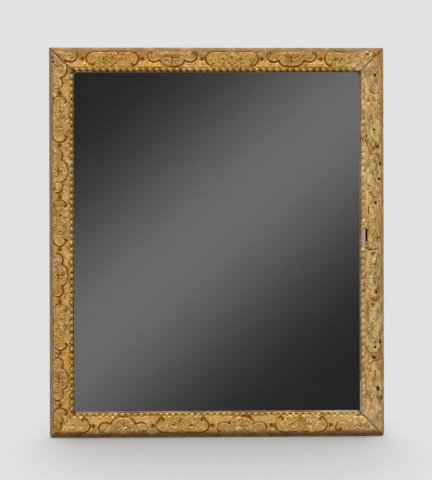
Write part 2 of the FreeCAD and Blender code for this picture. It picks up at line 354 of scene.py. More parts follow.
def carve_cartouche():
    tile = Tile(43.0)
    band = scroll_line(
        (7.5, 6.6), (20, 6.0), (30, 6.2), (37, 8.3), (41.4, 12.6), (43, 17.6), (41.3, 23.0), (37.6, 27.2),
        (33.4, 28.9),
    )
    hook = scroll_line((33.4, 28.9), (30.4, 28.0), (30.0, 25.9), (32.0, 25.2))
    volute = scroll_line(
        (2.2, 28), (3.4, 23.6), (5.4, 19.2), (8.8, 15.4), (13.2, 13.9), (17.4, 15.3), (18.8, 19.0),
        (16.8, 22.0), (13.9, 21.6), (13.0, 19.4),
    )
    depth = tile.panel(np.vstack([[(0, 6.6)], band, [(31, 36), (0, 36)]]), panel_rise, panel_slope)
    hatched = (depth > 3.6) & (tile.x > 14) & (tile.away(volute) > 2.4) & (tile.y < 27.5)
    slants = [(tile.x + side * tile.y * hatch_slant) % hatch_pitch for side in (-1, 1)]
    to_line = np.minimum(*(np.abs(slant - hatch_pitch / 2) for slant in slants))
    lattice = hump(to_line, 0.55) * hatched
    tile.relief -= 0.6 * lattice
    tile.lay("cuts", 0.4 * lattice)
    tile.lay("hatching", ease(depth, 2.5, 4.0))
    tile.rim(tile.away(band), 2.1, 0.8, depth)
    tile.roll(volute, 1.3, 0.7, 0.95)
    tile.pit(14.9, 19.2, 2.1, 1.3, 0.4)
    tile.cut(scroll_line((13.6, 22.9), (9, 20.6), (4, 18.2), (0, 17.6)), 0.6, 0.5, 0.75)
    tile.fan(5.4, 8.6, 1, 7, 1.35)
    tile.knob(9.4, 8.8, 1.8, 0.8)
    tile.cut(scroll_line((7.3, 9.6), (8.6, 11.2), (10.8, 10.8), (11.8, 9.0)), 0.5, 0.4, 0.8)
    tile.pit(0, 14.9, 1.0, 0.8)
    tile.fan(30.8, 8.2, -1, 5, 1.3)
    tile.pit(5.8, 24.4, 1.3, 0.8)
    tile.cut(band, outline_width, outline_depth)
    tile.cut(hook, 1.0, 1.1)
    tile.pit(31.6, 26.9, 1.7, 0.9)
    return tile


cartouche = carve_cartouche()
print("the cartouche stands up to", cartouche.relief.max().round(2), "mm from the frieze")

# %% [markdown]
# The lambrequin.
# A hanging of three lobes, like the edge of a cloth valance: a long one in the middle and a curled one on
# each side. A cut line runs down the middle lobe from two small swags under a shell. It could have tools
# of its own, but carved with those of the cartouche, the two look like one hand's work.

# %% Carve the lambrequin
def carve_lambrequin():
    tile = Tile(40.0)
    middle = scroll_line((0, 30.3), (7.0, 30.1), (13.2, 28.5), (17.8, 25.2), (20.2, 20.6))
    side = scroll_line(
        (20.2, 20.6), (24, 22.0), (29.6, 22.9), (35.2, 21.2), (39.2, 16.8), (39.8, 12.0), (37.4, 8.2),
        (33.8, 7.6),
    )
    curl = scroll_line((33.8, 7.6), (31.8, 9.0), (32.2, 11.2), (34.4, 11.6))
    depth = tile.panel(np.vstack([middle, side[1:], [(33.8, 2.0), (0, 2.0)]]), panel_rise, panel_slope)
    tile.lay("drapery", ease(depth, 0.5, 2.0))
    edge = np.minimum(tile.away(middle), tile.away(side))
    tile.rim(edge, 2.2, 0.85, depth)
    ring = hump(np.hypot(tile.x - 30.6, tile.y - 14.2) - 5.0, 0.5) * (tile.x > 22) * (depth > 2)
    tile.relief -= 0.3 * ring
    tile.lay("cuts", 0.4 * ring)
    tile.cut(np.array([(0, 16.2), (0, 22.6)]), 0.95, 0.9)
    tile.cut(np.array([(0, 22.6), (0, 27.4)]), 0.5, 0.4, 0.5)
    tile.cut(scroll_line((0.0, 14.4), (3.6, 16.0), (7.6, 15.6), (11.0, 13.2)), 1.3, 1.1)
    tile.pit(5.2, 12.0, 1.4, 0.8)
    rim_dots = hump(edge - 3.9, 0.7) * (depth > 2) * (tile.x < 17) * (tile.y > 20)
    tile.relief += 0.5 * rim_dots * (0.5 + 0.5 * np.cos(tile.x * 2.1))
    tile.fan(5.4, 6.8, 1, 6, 1.3)
    tile.roll(scroll_line((7.0, 10.6), (8.6, 8.4), (11.6, 8.0), (13.4, 9.8)), 0.8, 0.4, 0.5)
    tile.pit(10.2, 10.6, 0.9, 0.8)
    tile.pit(34.0, 9.9, 1.1, 0.8)
    tile.cut(middle, outline_width, outline_depth)
    tile.cut(side, outline_width, outline_depth)
    tile.cut(curl, 0.8, 0.9)
    return tile


lambrequin = carve_lambrequin()
print("the lambrequin stands up to", lambrequin.relief.max().round(2), "mm from the frieze")

# %% [markdown]
# The stud.
# A low boss with a drilled eye, and a small bead on each side, link one motif to the next along the
# frieze. Dirt and painted shade lie darkest in such an eye, so its ink is stronger than that of the motifs.

# %% Carve the stud
stud_middle = 17.8


def carve_stud():
    tile = Tile(7.0, ink=(1.0, 0.2))
    tile.knob(0, stud_middle, 4.2, 1.0)
    tile.pit(0, stud_middle, 3.6, 1.9, 0.4)
    tile.knob(5.8, stud_middle, 1.5, 1.0)
    for side in (-1, 1):
        link = np.array([(3.4, stud_middle + side * 1.6), (6.0, stud_middle + side * 2.0)])
        tile.cut(link, 0.5, 0.4, 0.8)
    return tile


stud = carve_stud()
print("the stud's tile is", stud.relief.shape, "points")

# %% [markdown]
# The rails' surfaces.
# A rail is a fine grid laid over its section, from mitre to mitre. Each row of the grid has its own u, and
# the columns fan in towards the mitres, so that the ends come out at 45 degrees. A finely divided block
# could be cut to the same shape, but its points would be harder to find again.

# %% Lay out a rail's grid
COLUMN_STEP = 0.68
ROW_STEP = 0.5
wall_inset = 0.12
mitre_columns = (0.0, 0.22, 0.5, 0.85, 1.3)
# What the gilding is told about each point
MASKS = (
    "cuts", "hatching", "drapery", "ground", "spandrels", "painted_highlights", "flecks",
    "edges", "grime_and_shade", "lip", "worn", "bare", "plaster_and_highlight", "holes",
)


def rail_grid(length):
    """s and u for every point of a rail's front, with closer columns at the mitres."""
    half = length / 2
    ends = np.array(mitre_columns)
    count = round((length - 2 * ends[-1]) / COLUMN_STEP)
    plain = np.linspace(ends[-1] - half, half - ends[-1], count)
    share = np.concatenate([ends[:-1] - half, plain, (half - ends[:-1])[::-1]]) / half
    rows = np.concatenate([[wall_inset], np.arange(ROW_STEP, rail_width + ROW_STEP / 2, ROW_STEP)])
    u = np.repeat(rows[:, None], len(share), axis=1)
    return share[None, :] * (half - u), u


def blank_face(name):
    """A rail's front with nothing carved on it."""
    s, u = rail_grid(rails[name][0])
    face = {"s": s, "u": u}
    for layer in ("relief", "panels", *MASKS):
        face[layer] = np.zeros(s.shape)
    return face


def lay(face, layer, values):
    """Lays values over a layer of a face, where they are higher."""
    np.maximum(face[layer], values, out=face[layer])


print("the top rail's grid is", rail_grid(overall_width)[0].shape, "points")

# %% [markdown]
# Setting out the motifs.
# A carver steps the motifs along each rail with dividers, from a centre chosen by eye, and lets the
# mitres cut them. So does this: cartouche and lambrequin by turns, and a stud between each two. The
# tile's values are read at each point of the rail, a little astray, and only as far as wear has left
# them. An Array modifier would repeat them, too, but each copy would be the same.

# %% Set a motif on a rail
motif_spread = 1.02
motif_rise = (1.6, 8.0)


def tile_at(values, tile, x, y):
    """A tile's values at points of a rail, blended between the tile's own points."""
    rows, columns = values.shape
    i = np.clip((y - edge_width) / TILE_STEP, 0, rows - 1.001)
    j = np.clip((x + tile.reach) / TILE_STEP, 0, columns - 1.001)
    a, b = i % 1, j % 1
    i, j = i.astype(int), j.astype(int)
    upper = values[i, j] * (1 - b) + values[i, j + 1] * b
    lower = values[i + 1, j] * (1 - b) + values[i + 1, j + 1] * b
    return upper * (1 - a) + lower * a


def set_motif(face, tile, place, half_length, inset):
    """Adds a motif to a rail's face, as far as wear has left it."""
    stretch = half_length / tile.half_length
    columns = np.nonzero((np.abs(face["s"] - place) < tile.reach * stretch).any(axis=0))[0]
    if not len(columns):
        return
    part = {layer: values[:, columns[0]:columns[-1] + 1] for layer, values in face.items()}
    s, u, keep = part["s"], part["u"], part["keep"]
    seed = int(abs(place) * 10) % 997
    x = (s - place) / stretch + 0.5 * hand_waves(s, u, 14.0, seed)
    y = (u - inset) / motif_spread + 0.4 * hand_waves(s, u, 14.0, seed + 1)
    on_tile = (np.abs(x) < tile.reach) & (y > edge_width) & (y < bead_start + 0.7)
    left = np.clip(keep + 0.6 * (1 - keep) * hand_waves(s, u, 13.0, seed + 2), 0, 1) * on_tile
    risen = ease(u, edge_width + motif_rise[0], edge_width + motif_rise[1])
    part["relief"] += left * risen * tile_at(tile.relief, tile, x, y)
    inked = np.clip(tile.ink[0] + tile.ink[1] * hand_waves(s, u, 9.0, seed + 3), 0, 1)
    # Clay, dirt and painted shade in the cuts, and painted black shade in the drilled eyes
    lay(part, "cuts", ease(left, 0.1, 0.95) * inked * tile_at(tile.cuts, tile, x, y))
    lay(part, "holes", left * tile_at(tile.black, tile, x, y))
    # Painted highlights on the rolls, rims, bosses and ribs, broken here and there
    broken = ease(hand_waves(s, u, 5.0, seed + 4), -0.35, 0.6)
    lay(part, "painted_highlights", 0.65 * left * broken * tile_at(tile.shine, tile, x, y))
    for layer in ("panels", "hatching", "drapery"):
        lay(part, layer, tile_at(getattr(tile, layer), tile, x, y) * on_tile)


shell_rows = np.array([8.0, 10.0, 12.0])
shell_relief = tile_at(cartouche.relief, cartouche, np.zeros(3), shell_rows)
print("the cartouche's shell stands", shell_relief.round(2), "mm high at u =", shell_rows)

# %% Set out the motifs
# Where a cartouche is centred along each rail, and the step from motif to motif
motif_places = by_rail((-24.8, 97.8), (-31.6, 85.0), (-57.4, 97.3), (24.0, 85.0))
motif_inset = by_rail(1.1, -0.6, 1.6, 0.8)
# How much of a step each motif takes to either side
motif_turns = ((cartouche, 0.442), (lambrequin, 0.415))


def set_motifs(face, name):
    """Steps the motifs and studs along a rail, from mitre to mitre."""
    place, step = motif_places[name]
    reach = rails[name][0] / 2 + step / 2
    for turn in range(math.ceil((-reach - place) / step), math.floor((reach - place) / step) + 1):
        centre = place + turn * step
        tile, share = motif_turns[turn % 2]
        set_motif(face, tile, centre, share * step, motif_inset[name])
        set_motif(face, stud, centre + step / 2, stud.half_length, motif_inset[name])


print("steps from motif to motif:", {name: step for name, (_, step) in motif_places.items()}, "mm")

# %% [markdown]
# The bead row.
# At the sight edge runs a row of round beads in a shallow channel, with a nick of the gouge between each
# two. Carvers space such rows by eye to come out even, so each rail has its own pitch. No two rows are
# worn alike: on the top rail the beads lean like a rope's strands, at the bottom they are small and at
# the right broad and low. Spheres along a curve would look turned, not carved, so the beads are domes in
# the same heights.
# Their crowns take painted highlights, and their feet, the nicks and the lip between them painted shade.

# %% How each bead row looks
bead_pitch = by_rail(10.95, 10.9, 10.42, 10.9)
bead_middle = by_rail(35.8, 36.0, 35.8, 35.8)
bead_radius = by_rail(2.7, 2.5, 2.5, 3.5)
bead_lean = by_rail(0.4, 0.25, 0.0, 0.2)
# How much painted shade darkens the foot all round a bead, and the nicks
bead_foot_shade = by_rail(0.15, 0.3, 0.2, 0.3)
bead_nick_shade = by_rail(0.95, 0.95, 1.0, 0.6)
# How much nearer the glass than the beads the nicks are
nick_inset = by_rail(1.6, 0.6, 0.0, 0.3)
# How bright the painted highlights on the crowns are, and how much of the nicks is painted black as shade
bead_highlight = by_rail(0.75, 0.5, 0.36, 0.4)
nick_shade = by_rail(0.75, 0.75, 0.15, 0.25)
# How black the painted shade on the lip is between the beads, and how much less dark it is below them
lip_shade = by_rail(0.95, 0.95, 0.0, 0.25)
lip_less_dark = by_rail(0.3, 0.15, 0.0, 0.35)
bead_rise, bead_stretch = 2.4, 1.12
foot_width, foot_depth = 0.7, 0.6
nick_width, nick_height, nick_depth = 1.5, 1.9, 0.9
channel_depth = 0.5
# How wide the painted shade between two beads is on the lip
lip_gap = 2.4
print("beads:", {name: round(rails[name][0] / pitch) for name, pitch in bead_pitch.items()})


# %% Carve the bead row
def set_beads(face, name, keep):
    """Adds the beads to a rail's face as far as wear has left them, with painted highlights and shade."""
    s, u = face["s"], face["u"]
    pitch, radius = bead_pitch[name], bead_radius[name]
    inset = u - bead_middle[name]
    row = s + bead_lean[name] * inset + 0.3 * hand_waves(s, u, 23.0, 5)
    number = np.floor(row / pitch + 0.5)
    across = row - number * pitch
    to_gap = pitch / 2 - np.abs(across)
    size = 1 + 0.12 * hand_waves(number * 31.0, u * 0, 29.0, 9)
    away = np.hypot(across / bead_stretch, inset - 0.3 * hand_waves(number * 17.0, u * 0, 29.0, 8)) / size
    dome = np.sqrt(np.clip(1 - (away / radius) ** 2, 0, 1))
    channel = ease(u, bead_start - 0.5, bead_start + 0.6) * ease(-u, -lip_start - 0.4, 0.6 - lip_start)
    foot = hump(away - radius - 0.3, foot_width) * channel
    nick = hump(to_gap, nick_width) * hump(inset - nick_inset[name], nick_height) * channel
    nick *= 1 + 0.3 * hand_waves(s, u, 6.0, 11)
    left = keep * (0.85 + 0.3 * hand_waves(s, u, 37.0, 10))
    carved = bead_rise * dome - foot_depth * foot - nick_depth * nick
    face["relief"] += left * carved - channel_depth * channel
    lay(face, "cuts", ease(keep, 0.3, 0.9) * np.maximum(bead_foot_shade[name] * foot, bead_nick_shade[name] * nick))
    lay(face, "holes", nick_shade[name] * keep * nick)
    lay(face, "painted_highlights", bead_highlight[name] * keep * dome**3)
    between = hump(to_gap, lip_gap) * ease(u, lip_start - 0.4, lip_start + 0.6)
    lay(face, "holes", lip_shade[name] * keep * between)
    face["below_bead"] = lip_less_dark[name] * keep * ease(-np.abs(across), -4.2, -1.4)


print("whole beads stand", bead_rise - channel_depth, "mm over the frieze")

# %% [markdown]
# The punched ground.
# Where the frieze is left flat on the glass side of the strapwork, the ground is pricked all over with a
# small punch, which makes the gold glitter. The marks sit near the points of a slanted grid, each a
# little astray. A bump texture could show them from afar, but real pits also catch the dirt.

# %% Punch the ground
punch_pitch = 3.4
punch_depth = 0.7
ground_rows = (16.5, 19.5)
# How bright the leaf is left on the punched ground
ground_bright = by_rail(0.9, 0.65, 1.0, 1.0)


def set_punch_marks(face, name):
    """Pricks the ground between the motifs."""
    s, u = face["s"], face["u"]
    row = u + 0.9 * hand_waves(s, u, 4.0, 21)
    column = s + 0.9 * hand_waves(s, u, 4.0, 22)
    line = np.floor(row / punch_pitch)
    across = (column / punch_pitch + 0.5 * line) % 1 - 0.5
    along = row / punch_pitch % 1 - 0.5
    mark = hump(np.hypot(across, along), 0.3)
    outside = 1 - face["panels"]
    ground = outside * ease(u, *ground_rows) * ease(-u, -bead_start, -bead_start + 1)
    beside_edge = ease(u, edge_width, edge_width + 0.8) * ease(-u, -ground_rows[1], -ground_rows[0])
    face["ground"] = ground_bright[name] * ground
    face["spandrels"] = outside * beside_edge
    face["relief"] -= punch_depth * mark * ground
    lay(face, "cuts", 0.5 * mark * ground)


print("punch marks stand about", punch_pitch, "mm apart")

# %% [markdown]
# Wear, worm and a broken place.
# The right rail is rubbed more than the others and riddled with worm holes, and a slot is broken out
# beside its beads. Such marks could be painted by hand. Here each hole is a pit at a chosen place, and
# the chipped stretch is carved away again, so that all of it can be moved by changing a number.

# %% Places where the frame is hurt
# Place along the rail, inset, radius, and darkness of the painted shade, of each hole
worm_holes = {
    "top": [(-247.8, 11.4, 1.1, 0.4), (-196.0, 20.0, 0.8, 0.4)],
    "left": [
        (-303.0, 5.6, 1.0, 0.6), (-295.5, 7.6, 0.9, 0.5), (-236.0, 7.5, 0.9, 0.3), (181.0, 12.0, 0.8, 0.4),
    ],
    "bottom": [(201.0, 12.5, 1.1, 0.6), (247.0, 16.0, 0.9, 0.5)],
    "right": [
        (274.6, 14.9, 1.8, 0.85), (184.7, 16.7, 1.2, 0.55), (173.0, 29.0, 1.0, 0.5),
        (157.0, 10.7, 1.3, 0.85), (128.8, 6.8, 1.6, 0.85), (104.0, 8.0, 1.5, 0.75),
        (64.0, 14.2, 1.7, 0.5), (7.0, 10.0, 1.4, 0.5), (-36.2, 16.5, 1.2, 0.3),
        (-82.5, 13.6, 1.5, 0.4), (-165.0, 7.6, 1.6, 0.6), (-173.0, 15.6, 1.4, 0.45),
        (-190.6, 17.4, 1.9, 0.5), (-241.0, 10.6, 2.6, 0.6), (-256.0, 5.5, 1.2, 0.5),
    ],
}
hole_depth, hole_stretch = 2.6, 1.5
# Start, end and width of each crack, all of them on the right rail
cracks = [
    ((58.0, 25.8), (45.0, 26.2), 0.7), ((-160.0, 8.2), (-168.0, 7.2), 0.9),
    ((213.5, 2.6), (207.5, 2.2), 0.7), ((194.0, 2.8), (191.0, 2.6), 0.9),
    ((229.0, 8.0), (226.0, 7.4), 0.7), ((220.0, 8.2), (217.0, 7.6), 0.7),
    ((-9.0, 31.0), (-13.0, 24.0), 0.8), ((-13.0, 24.0), (-11.0, 12.0), 0.8),
]
crack_depth, crack_shade = 1.2, 0.55
# Middle, reach and strength of the places that hands and damp have rubbed away
rubbed_places = {
    "top": [(-236.0, 18.0, 26.0, 0.85), (-188.0, 15.5, 8.0, 0.6)],
    "left": [(-286.0, 14.0, 12.0, 0.3)],
    "bottom": [(240.0, 20.0, 30.0, 0.55), (190.0, 37.0, 14.0, 0.4), (214.0, 37.0, 16.0, 0.6)],
    "right": [
        (295.0, 18.0, 55.0, 0.6), (215.0, 18.0, 80.0, 0.5), (152.0, 14.0, 36.0, 0.62),
        (100.0, 18.0, 70.0, 0.4), (30.0, 18.0, 60.0, 0.25), (-236.0, 18.0, 44.0, 0.3),
        (-300.0, 16.0, 44.0, 0.6),
    ],
}
print("worm holes:", {name: len(holes) for name, holes in worm_holes.items()})


# %% Rub and bore a rail
def rubbed_share(s, u, name):
    """How far each point of a rail is rubbed, from 0 to 1."""
    rubbed = np.zeros(s.shape)
    for place, inset, reach, strength in rubbed_places[name]:
        away = np.hypot(s - place, 0.8 * (u - inset)) / reach + 0.25 * hand_waves(s, u, 8.0, 51)
        rubbed = np.maximum(rubbed, strength * ease(-away, -1.15, -0.55))
    return rubbed


def set_worm_holes(face, name):
    """Ragged holes, longer along the grain, painted dark inside as shade."""
    s, u = face["s"], face["u"]
    for place, inset, radius, darkness in worm_holes[name]:
        ragged = 1 + 0.45 * hand_waves(s, u, 1.9, int(inset * 7))
        away = np.hypot((s - place) / hole_stretch, u - inset) * ragged
        hole = ease(-away, -radius - 0.7, -radius + 0.6)
        face["relief"] -= hole_depth * hole
        lay(face, "cuts", hole)
        lay(face, "holes", darkness * hole)


def set_cracks(face):
    """Cracks in the dry ground under the gold, painted dark as shade."""
    for start, end, width in cracks:
        crack = hump(distance_to(np.array([start, end]), face["s"], face["u"]), width)
        face["relief"] -= crack_depth * crack
        lay(face, "cuts", crack)
        lay(face, "holes", crack_shade * crack)


print(len(cracks), "cracks, each", crack_depth, "mm deep")

# %% Break the slot
slot_ends, slot_middle, slot_half_width, slot_depth = (0.9, 22.0), 29.7, 1.6, 7.0
slot_slope = 0.4
chip_ends, chip_edges, chip_level = (-12.5, 25.0), (31.2, 37.2), lip_foot + 3.2
plaster_spot, plaster_radius = (-11.6, 36.3), 2.6


def set_broken_slot(face):
    """Chips off a stretch of beads, with a deep slot painted black as shade, and a spot of bare plaster
    beside it.
    """
    s, u = face["s"], face["u"]
    rough = 0.6 * hand_waves(s, u, 3.0, 71)
    first, last = chip_ends
    outer, inner = chip_edges
    chip = ease(s + rough, first, first + 2) * ease(rough - s, -last, 2 - last)
    chip = chip * ease(u + rough, outer, outer + 1) * ease(-u, -inner, 1 - inner)
    broken = chip_level + 0.5 * hand_waves(s, u, 2.2, 72) - moulded_height(u)
    face["relief"] = face["relief"] * (1 - chip) + np.minimum(broken, face["relief"]) * chip
    face["cuts"] *= 1 - 0.8 * chip
    lay(face, "bare", chip)
    from_spot = np.hypot(s - plaster_spot[0], u - plaster_spot[1])
    lay(face, "plaster_and_highlight", ease(-from_spot, -plaster_radius, 1 - plaster_radius))
    first, last = slot_ends
    slot = ease(s, first - slot_slope, first + slot_slope) * ease(-s, -last - slot_slope, slot_slope - last)
    from_middle = np.abs(u - slot_middle)
    slot = slot * ease(-from_middle, -slot_half_width - slot_slope, slot_slope - slot_half_width)
    face["relief"] -= slot_depth * slot
    lay(face, "cuts", slot)
    lay(face, "holes", slot)


print("the slot is", slot_ends[1] - slot_ends[0], "mm long")

# %% [markdown]
# The scroll at the lower left corner.
# A small scroll with a bead beside it runs over the mitre there. Drawn along one rail, it would stop at
# the joint. So it is drawn in the scene's own x and z, and both rails carve their share of it.

# %% The corner scroll
corner_scroll = scroll_line(
    (-253.9, -287.0), (-252.8, -292.7), (-256.7, -298.0), (-254.9, -302.6), (-259.3, -307.7)
)
scroll_ridge = corner_scroll + (2.2, 0.6)
corner_bead, corner_bead_radius = (-242.1, -295.9), 2.0


def set_corner_scroll(face, name):
    """Carves one rail's share of the scroll and bead, with painted highlights on the ridge and the bead."""
    x, _, z = np.moveaxis(rail_points(name, face["s"], face["u"], 0 * face["u"]), -1, 0)
    line = hump(distance_to(corner_scroll, x, z), 1.3)
    ridge = hump(distance_to(scroll_ridge, x, z), 1.2)
    bead = np.clip(1 - (np.hypot(x - corner_bead[0], z - corner_bead[1]) / corner_bead_radius) ** 2, 0, 1)
    face["relief"] += 0.5 * ridge - line + 1.2 * np.sqrt(bead)
    lay(face, "cuts", line)
    lay(face, "painted_highlights", np.maximum(0.5 * ridge, bead))


print("the corner scroll has", len(corner_scroll), "points")

# %% [markdown]
# Specks.
# Highlights are painted as bright specks where the old leaf is whole, and dirt settles in flecks where it
# isn't. A noise texture could place both, but it couldn't know each rail's share of them. So they are
# masks too, made from waves a few millimetres long.

# %% Specks of gold and dirt
# Share of painted highlight specks on each rail, and the least, which brightens the bottom frieze all over
highlight_share = by_rail(0.35, 0.6, 0.9, 0.45)
highlight_least = by_rail(0.0, 0.0, 0.2, 0.0)
fleck_share = by_rail(0.7, 0.7, 0.3, 0.9)
# On the right rail the wear follows the grain, so its marks are longer along the rail
grain_run = by_rail(1.0, 1.0, 1.0, 0.45)


def set_specks(face, name, seed):
    """Painted highlight specks where the leaf is whole, and dark specks where dirt has settled."""
    u = face["u"]
    run = face["s"] * grain_run[name]
    on_frieze = ease(u, edge_width, edge_width + 2) * ease(-u, -lip_start, 1 - lip_start)
    bright = ease(hand_waves(run, u, 2.6, seed) + 0.4 * hand_waves(run, u, 9.0, seed + 1), 0.3, 0.75)
    dark = ease(hand_waves(run, u, 3.0, seed + 2) + 0.6 * hand_waves(run, u, 12.0, seed + 3), 0.25, 0.75)
    shine = highlight_least[name] + (highlight_share[name] - highlight_least[name]) * bright
    lay(face, "painted_highlights", shine * on_frieze)
    face["flecks"] = fleck_share[name] * dark * on_frieze


print("shares of glints:", highlight_share)

# %% [markdown]
# Dust, dirt, painted shade and rubbed gold.
# Dust lies on the outer edge, with grime and painted shade on the bottom rail's. Dirt and painted shade
# darken the lip beside the glass, a painted highlight lies along the lip near two corners, and hands and
# cloths have rubbed the gold off in patches. Where the carving is worn away, the surface is left rough.
# Each is a mask with a soft, wavy border, because a straight one would look printed.

# %% How dirty and worn each rail is
carving_left = by_rail(0.95, 0.95, 0.97, 0.62)
gold_left = by_rail(0.95, 0.6, 0.9, 0.08)
beads_left = by_rail(0.95, 0.95, 1.0, 0.62)
# How far in the dusty edge reaches, how dusty it is and how much grime and painted shade it takes, and
# where the lip's dirt and painted shade start
edge_reach = by_rail(10.0, 8.5, 13.0, 8.5)
edge_dust = by_rail(0.75, 0.85, 0.3, 0.6)
edge_grime_and_shade = by_rail(0.08, 0.03, 0.7, 0.0)
lip_darkening_start = by_rail(37.3, 37.8, 37.6, 37.7)
lip_dirt_and_shade = by_rail(0.95, 0.85, 0.74, 0.75)
# How far in the dust, and the grime and painted shade, are thick
dust_thick, grime_and_shade_thick = 3.4, 6.5
# The top rail's arris is darkened too, though no more than a line shows
arris_darkening = by_rail(0.3, 0.0, 0.0, 0.0)
arris_rows = (0.8, 2.8)
# From where on, and in which direction along the rail, a painted highlight lies along the lip
lip_highlight_from = by_rail((200.0, 1), (258.0, -1), (165.0, 1), (222.0, -1))
print("gold left:", gold_left)


# %% Dirty and rub a rail
def set_border(face):
    """The drawn line between the edge and the frieze."""
    s, u = face["s"], face["u"]
    border = hump(u - edge_width - 0.4, 0.9)
    face["relief"] -= 0.3 * border
    drawn = 0.45 * np.sqrt(face["keep"]) * (1 + 0.4 * hand_waves(s, u, 13.0, 36))
    lay(face, "cuts", drawn * border)


def set_dirt_and_shade(face, name, seed):
    """Dust, grime and painted shade on the edge; dirt, painted shade and a painted highlight on the lip."""
    s, u = face["s"], face["u"]
    dusty = u + 1.2 * hand_waves(s, u, 7.0, seed + 4)
    patched = 1 + (0.7 - 0.5 * carving_left[name]) * hand_waves(s, u, 9.0, seed + 10)
    face["edges"] = edge_dust[name] * patched * ease(-dusty, -edge_reach[name], -dust_thick)
    # Grime and painted shade on the edge, strongest on the bottom rail, whose rounded edge faces down
    face["grime_and_shade"] = edge_grime_and_shade[name] * patched * ease(-dusty, -edge_reach[name] - 1.5, -grime_and_shade_thick)
    face["grime_and_shade"] += arris_darkening[name] * ease(-u, -arris_rows[1], -arris_rows[0])
    # Dirt and painted shade on the lip, lighter below each bead
    patchy_lip = np.clip(lip_dirt_and_shade[name] * (1 + 0.3 * hand_waves(s, u * 0, 17.0, seed + 11)), 0, 1)
    patchy_lip *= 1 - face["below_bead"]
    face["lip"] = patchy_lip * ease(u, lip_darkening_start[name], lip_darkening_start[name] + 1.2)
    # A painted highlight along the lip near a corner
    start, way = lip_highlight_from[name]
    painted_lip_highlight = ease(way * s, start, start + 12) * ease(u, lip_start + 0.7, lip_start + 1.3)
    lay(face, "plaster_and_highlight", 0.5 * painted_lip_highlight)


def set_wear(face, name, seed, rubbed):
    """Gold rubbed off in patches, and a rough surface where the carving is gone."""
    s, u = face["s"], face["u"]
    run = s * grain_run[name]
    lost = np.maximum(1 - gold_left[name], rubbed)
    patches = 0.45 * hand_waves(run, u, 9.0, seed + 5) + 0.3 * hand_waves(run, u, 31.0, seed + 6)
    face["worn"] = np.clip(lost + patches, 0, 1)
    face["relief"] += 0.16 * hand_waves(s, u, 11.0, seed + 7) + 0.1 * hand_waves(s, u, 2.3, seed + 8)
    rough = 0.85 * hand_waves(run, u, 4.6, seed + 9) + 0.5 * hand_waves(run, u, 2.2, seed + 12)
    face["relief"] += (1 - face["keep"]) * rough


# The lip's dirt and painted shade start at these places
print("dirt of the lip starts at u =", lip_darkening_start)

# %% [markdown]
# Putting a rail together.
# The order is the carver's: mould the section, set out the motifs, cut the beads, punch the ground, and
# then let the years wear it. Masks go along with the height, so that the gilding knows where it is cut,
# rubbed or bare, and where highlights and shade are painted.

# %% Carve a rail's front
def carved_face(name):
    """The height and masks of a rail's front."""
    face = blank_face(name)
    seed = 100 * (1 + list(rails).index(name))
    rubbed = rubbed_share(face["s"], face["u"], name)
    face["keep"] = carving_left[name] * (1 - rubbed)
    set_motifs(face, name)
    set_beads(face, name, beads_left[name] * (1 - 0.5 * rubbed))
    set_punch_marks(face, name)
    set_specks(face, name, seed)
    if name in ("left", "bottom"):
        set_corner_scroll(face, name)
    set_worm_holes(face, name)
    if name == "right":
        set_cracks(face)
        set_broken_slot(face)
    set_border(face)
    set_dirt_and_shade(face, name, seed)
    set_wear(face, name, seed, rubbed)
    return face


rail_faces = {name: carved_face(name) for name in rails}
for name, face in rail_faces.items():
    print("the carving of the", name, "rail stands up to", face["relief"].max().round(2), "mm high")

# %% [markdown]
# The mitres and the bare sides.
# At the corners the rails meet in mitres that have opened a little with the years, except at the lower
# left. Behind the front come the lip's foot, the rebate for the glass, the flat back and the outer wall.
# They could be separate plain meshes. As a few more rows of the same grid, they close the rail with no
# seam.

# %% Close the mitres and the bare sides
# How far the joints at the start and at the end of each rail have opened
mitre_open = by_rail((1.0, 1.0), (1.0, 0.25), (0.25, 1.0), (1.0, 1.0))
# Width, depth, and how black the painted shade in the opened joints is
seam_width, seam_depth, seam_shade = 0.65, 1.3, 0.5
# The rebate leaves the glass a little play, and the lip in front of it is thin
rebate_play, lip_wall = 2.0, 1.8
rebate_start = half_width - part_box("mirror_plate")[1].x / MM - rebate_play
# u and v of the rows from the lip's foot round the back to the outer wall
plain_rows = [
    (rail_width, rebate_depth + lip_wall), (rail_width, rebate_depth), (rebate_start, rebate_depth),
    (rebate_start, rebate_depth / 2), (rebate_start, 0.0), (rebate_start / 2, 0.0),
    *((wall_inset, level) for level in (0.0, 3.0, 6.0, 9.0, 12.0)),
]


def rail_shell(name):
    """s, u and v for every point of a whole rail, and its masks."""
    face = rail_faces[name]
    s, u = face["s"], face["u"]
    half = rails[name][0] / 2
    from_mitre = (half - u - np.abs(s)) / math.sqrt(2)
    seam = hump(from_mitre, seam_width) * np.where(s < 0, *mitre_open[name])
    lay(face, "cuts", seam)
    lay(face, "holes", seam_shade * seam)
    v = moulded_height(u) + face["relief"] - seam_depth * seam
    share = s[0] / (half - u[0])
    plain_u, plain_v = (np.outer(values, np.ones(len(share))) for values in zip(*plain_rows))
    masks = {mask: np.vstack([face[mask], np.zeros(plain_u.shape)]) for mask in MASKS}
    s = np.vstack([s, share * (half - plain_u)])
    u = np.vstack([u, plain_u])
    v = np.vstack([v, plain_v])
    return s, u, v, masks


print("each rail has", len(plain_rows), "plain rows")

# %% [markdown]
# The worn corners.
# The frame's outer corners have been knocked round, more at the bottom than at the top. A Bevel modifier
# would need sharp corner edges, which the carved grid doesn't have. Pulling in the points that lie
# outside a rounded outline works on any mesh.

# %% Round the worn corners
# Radius at the top, 1, and at the bottom, -1
corner_wear = {1: 2.4, -1: 5.0}


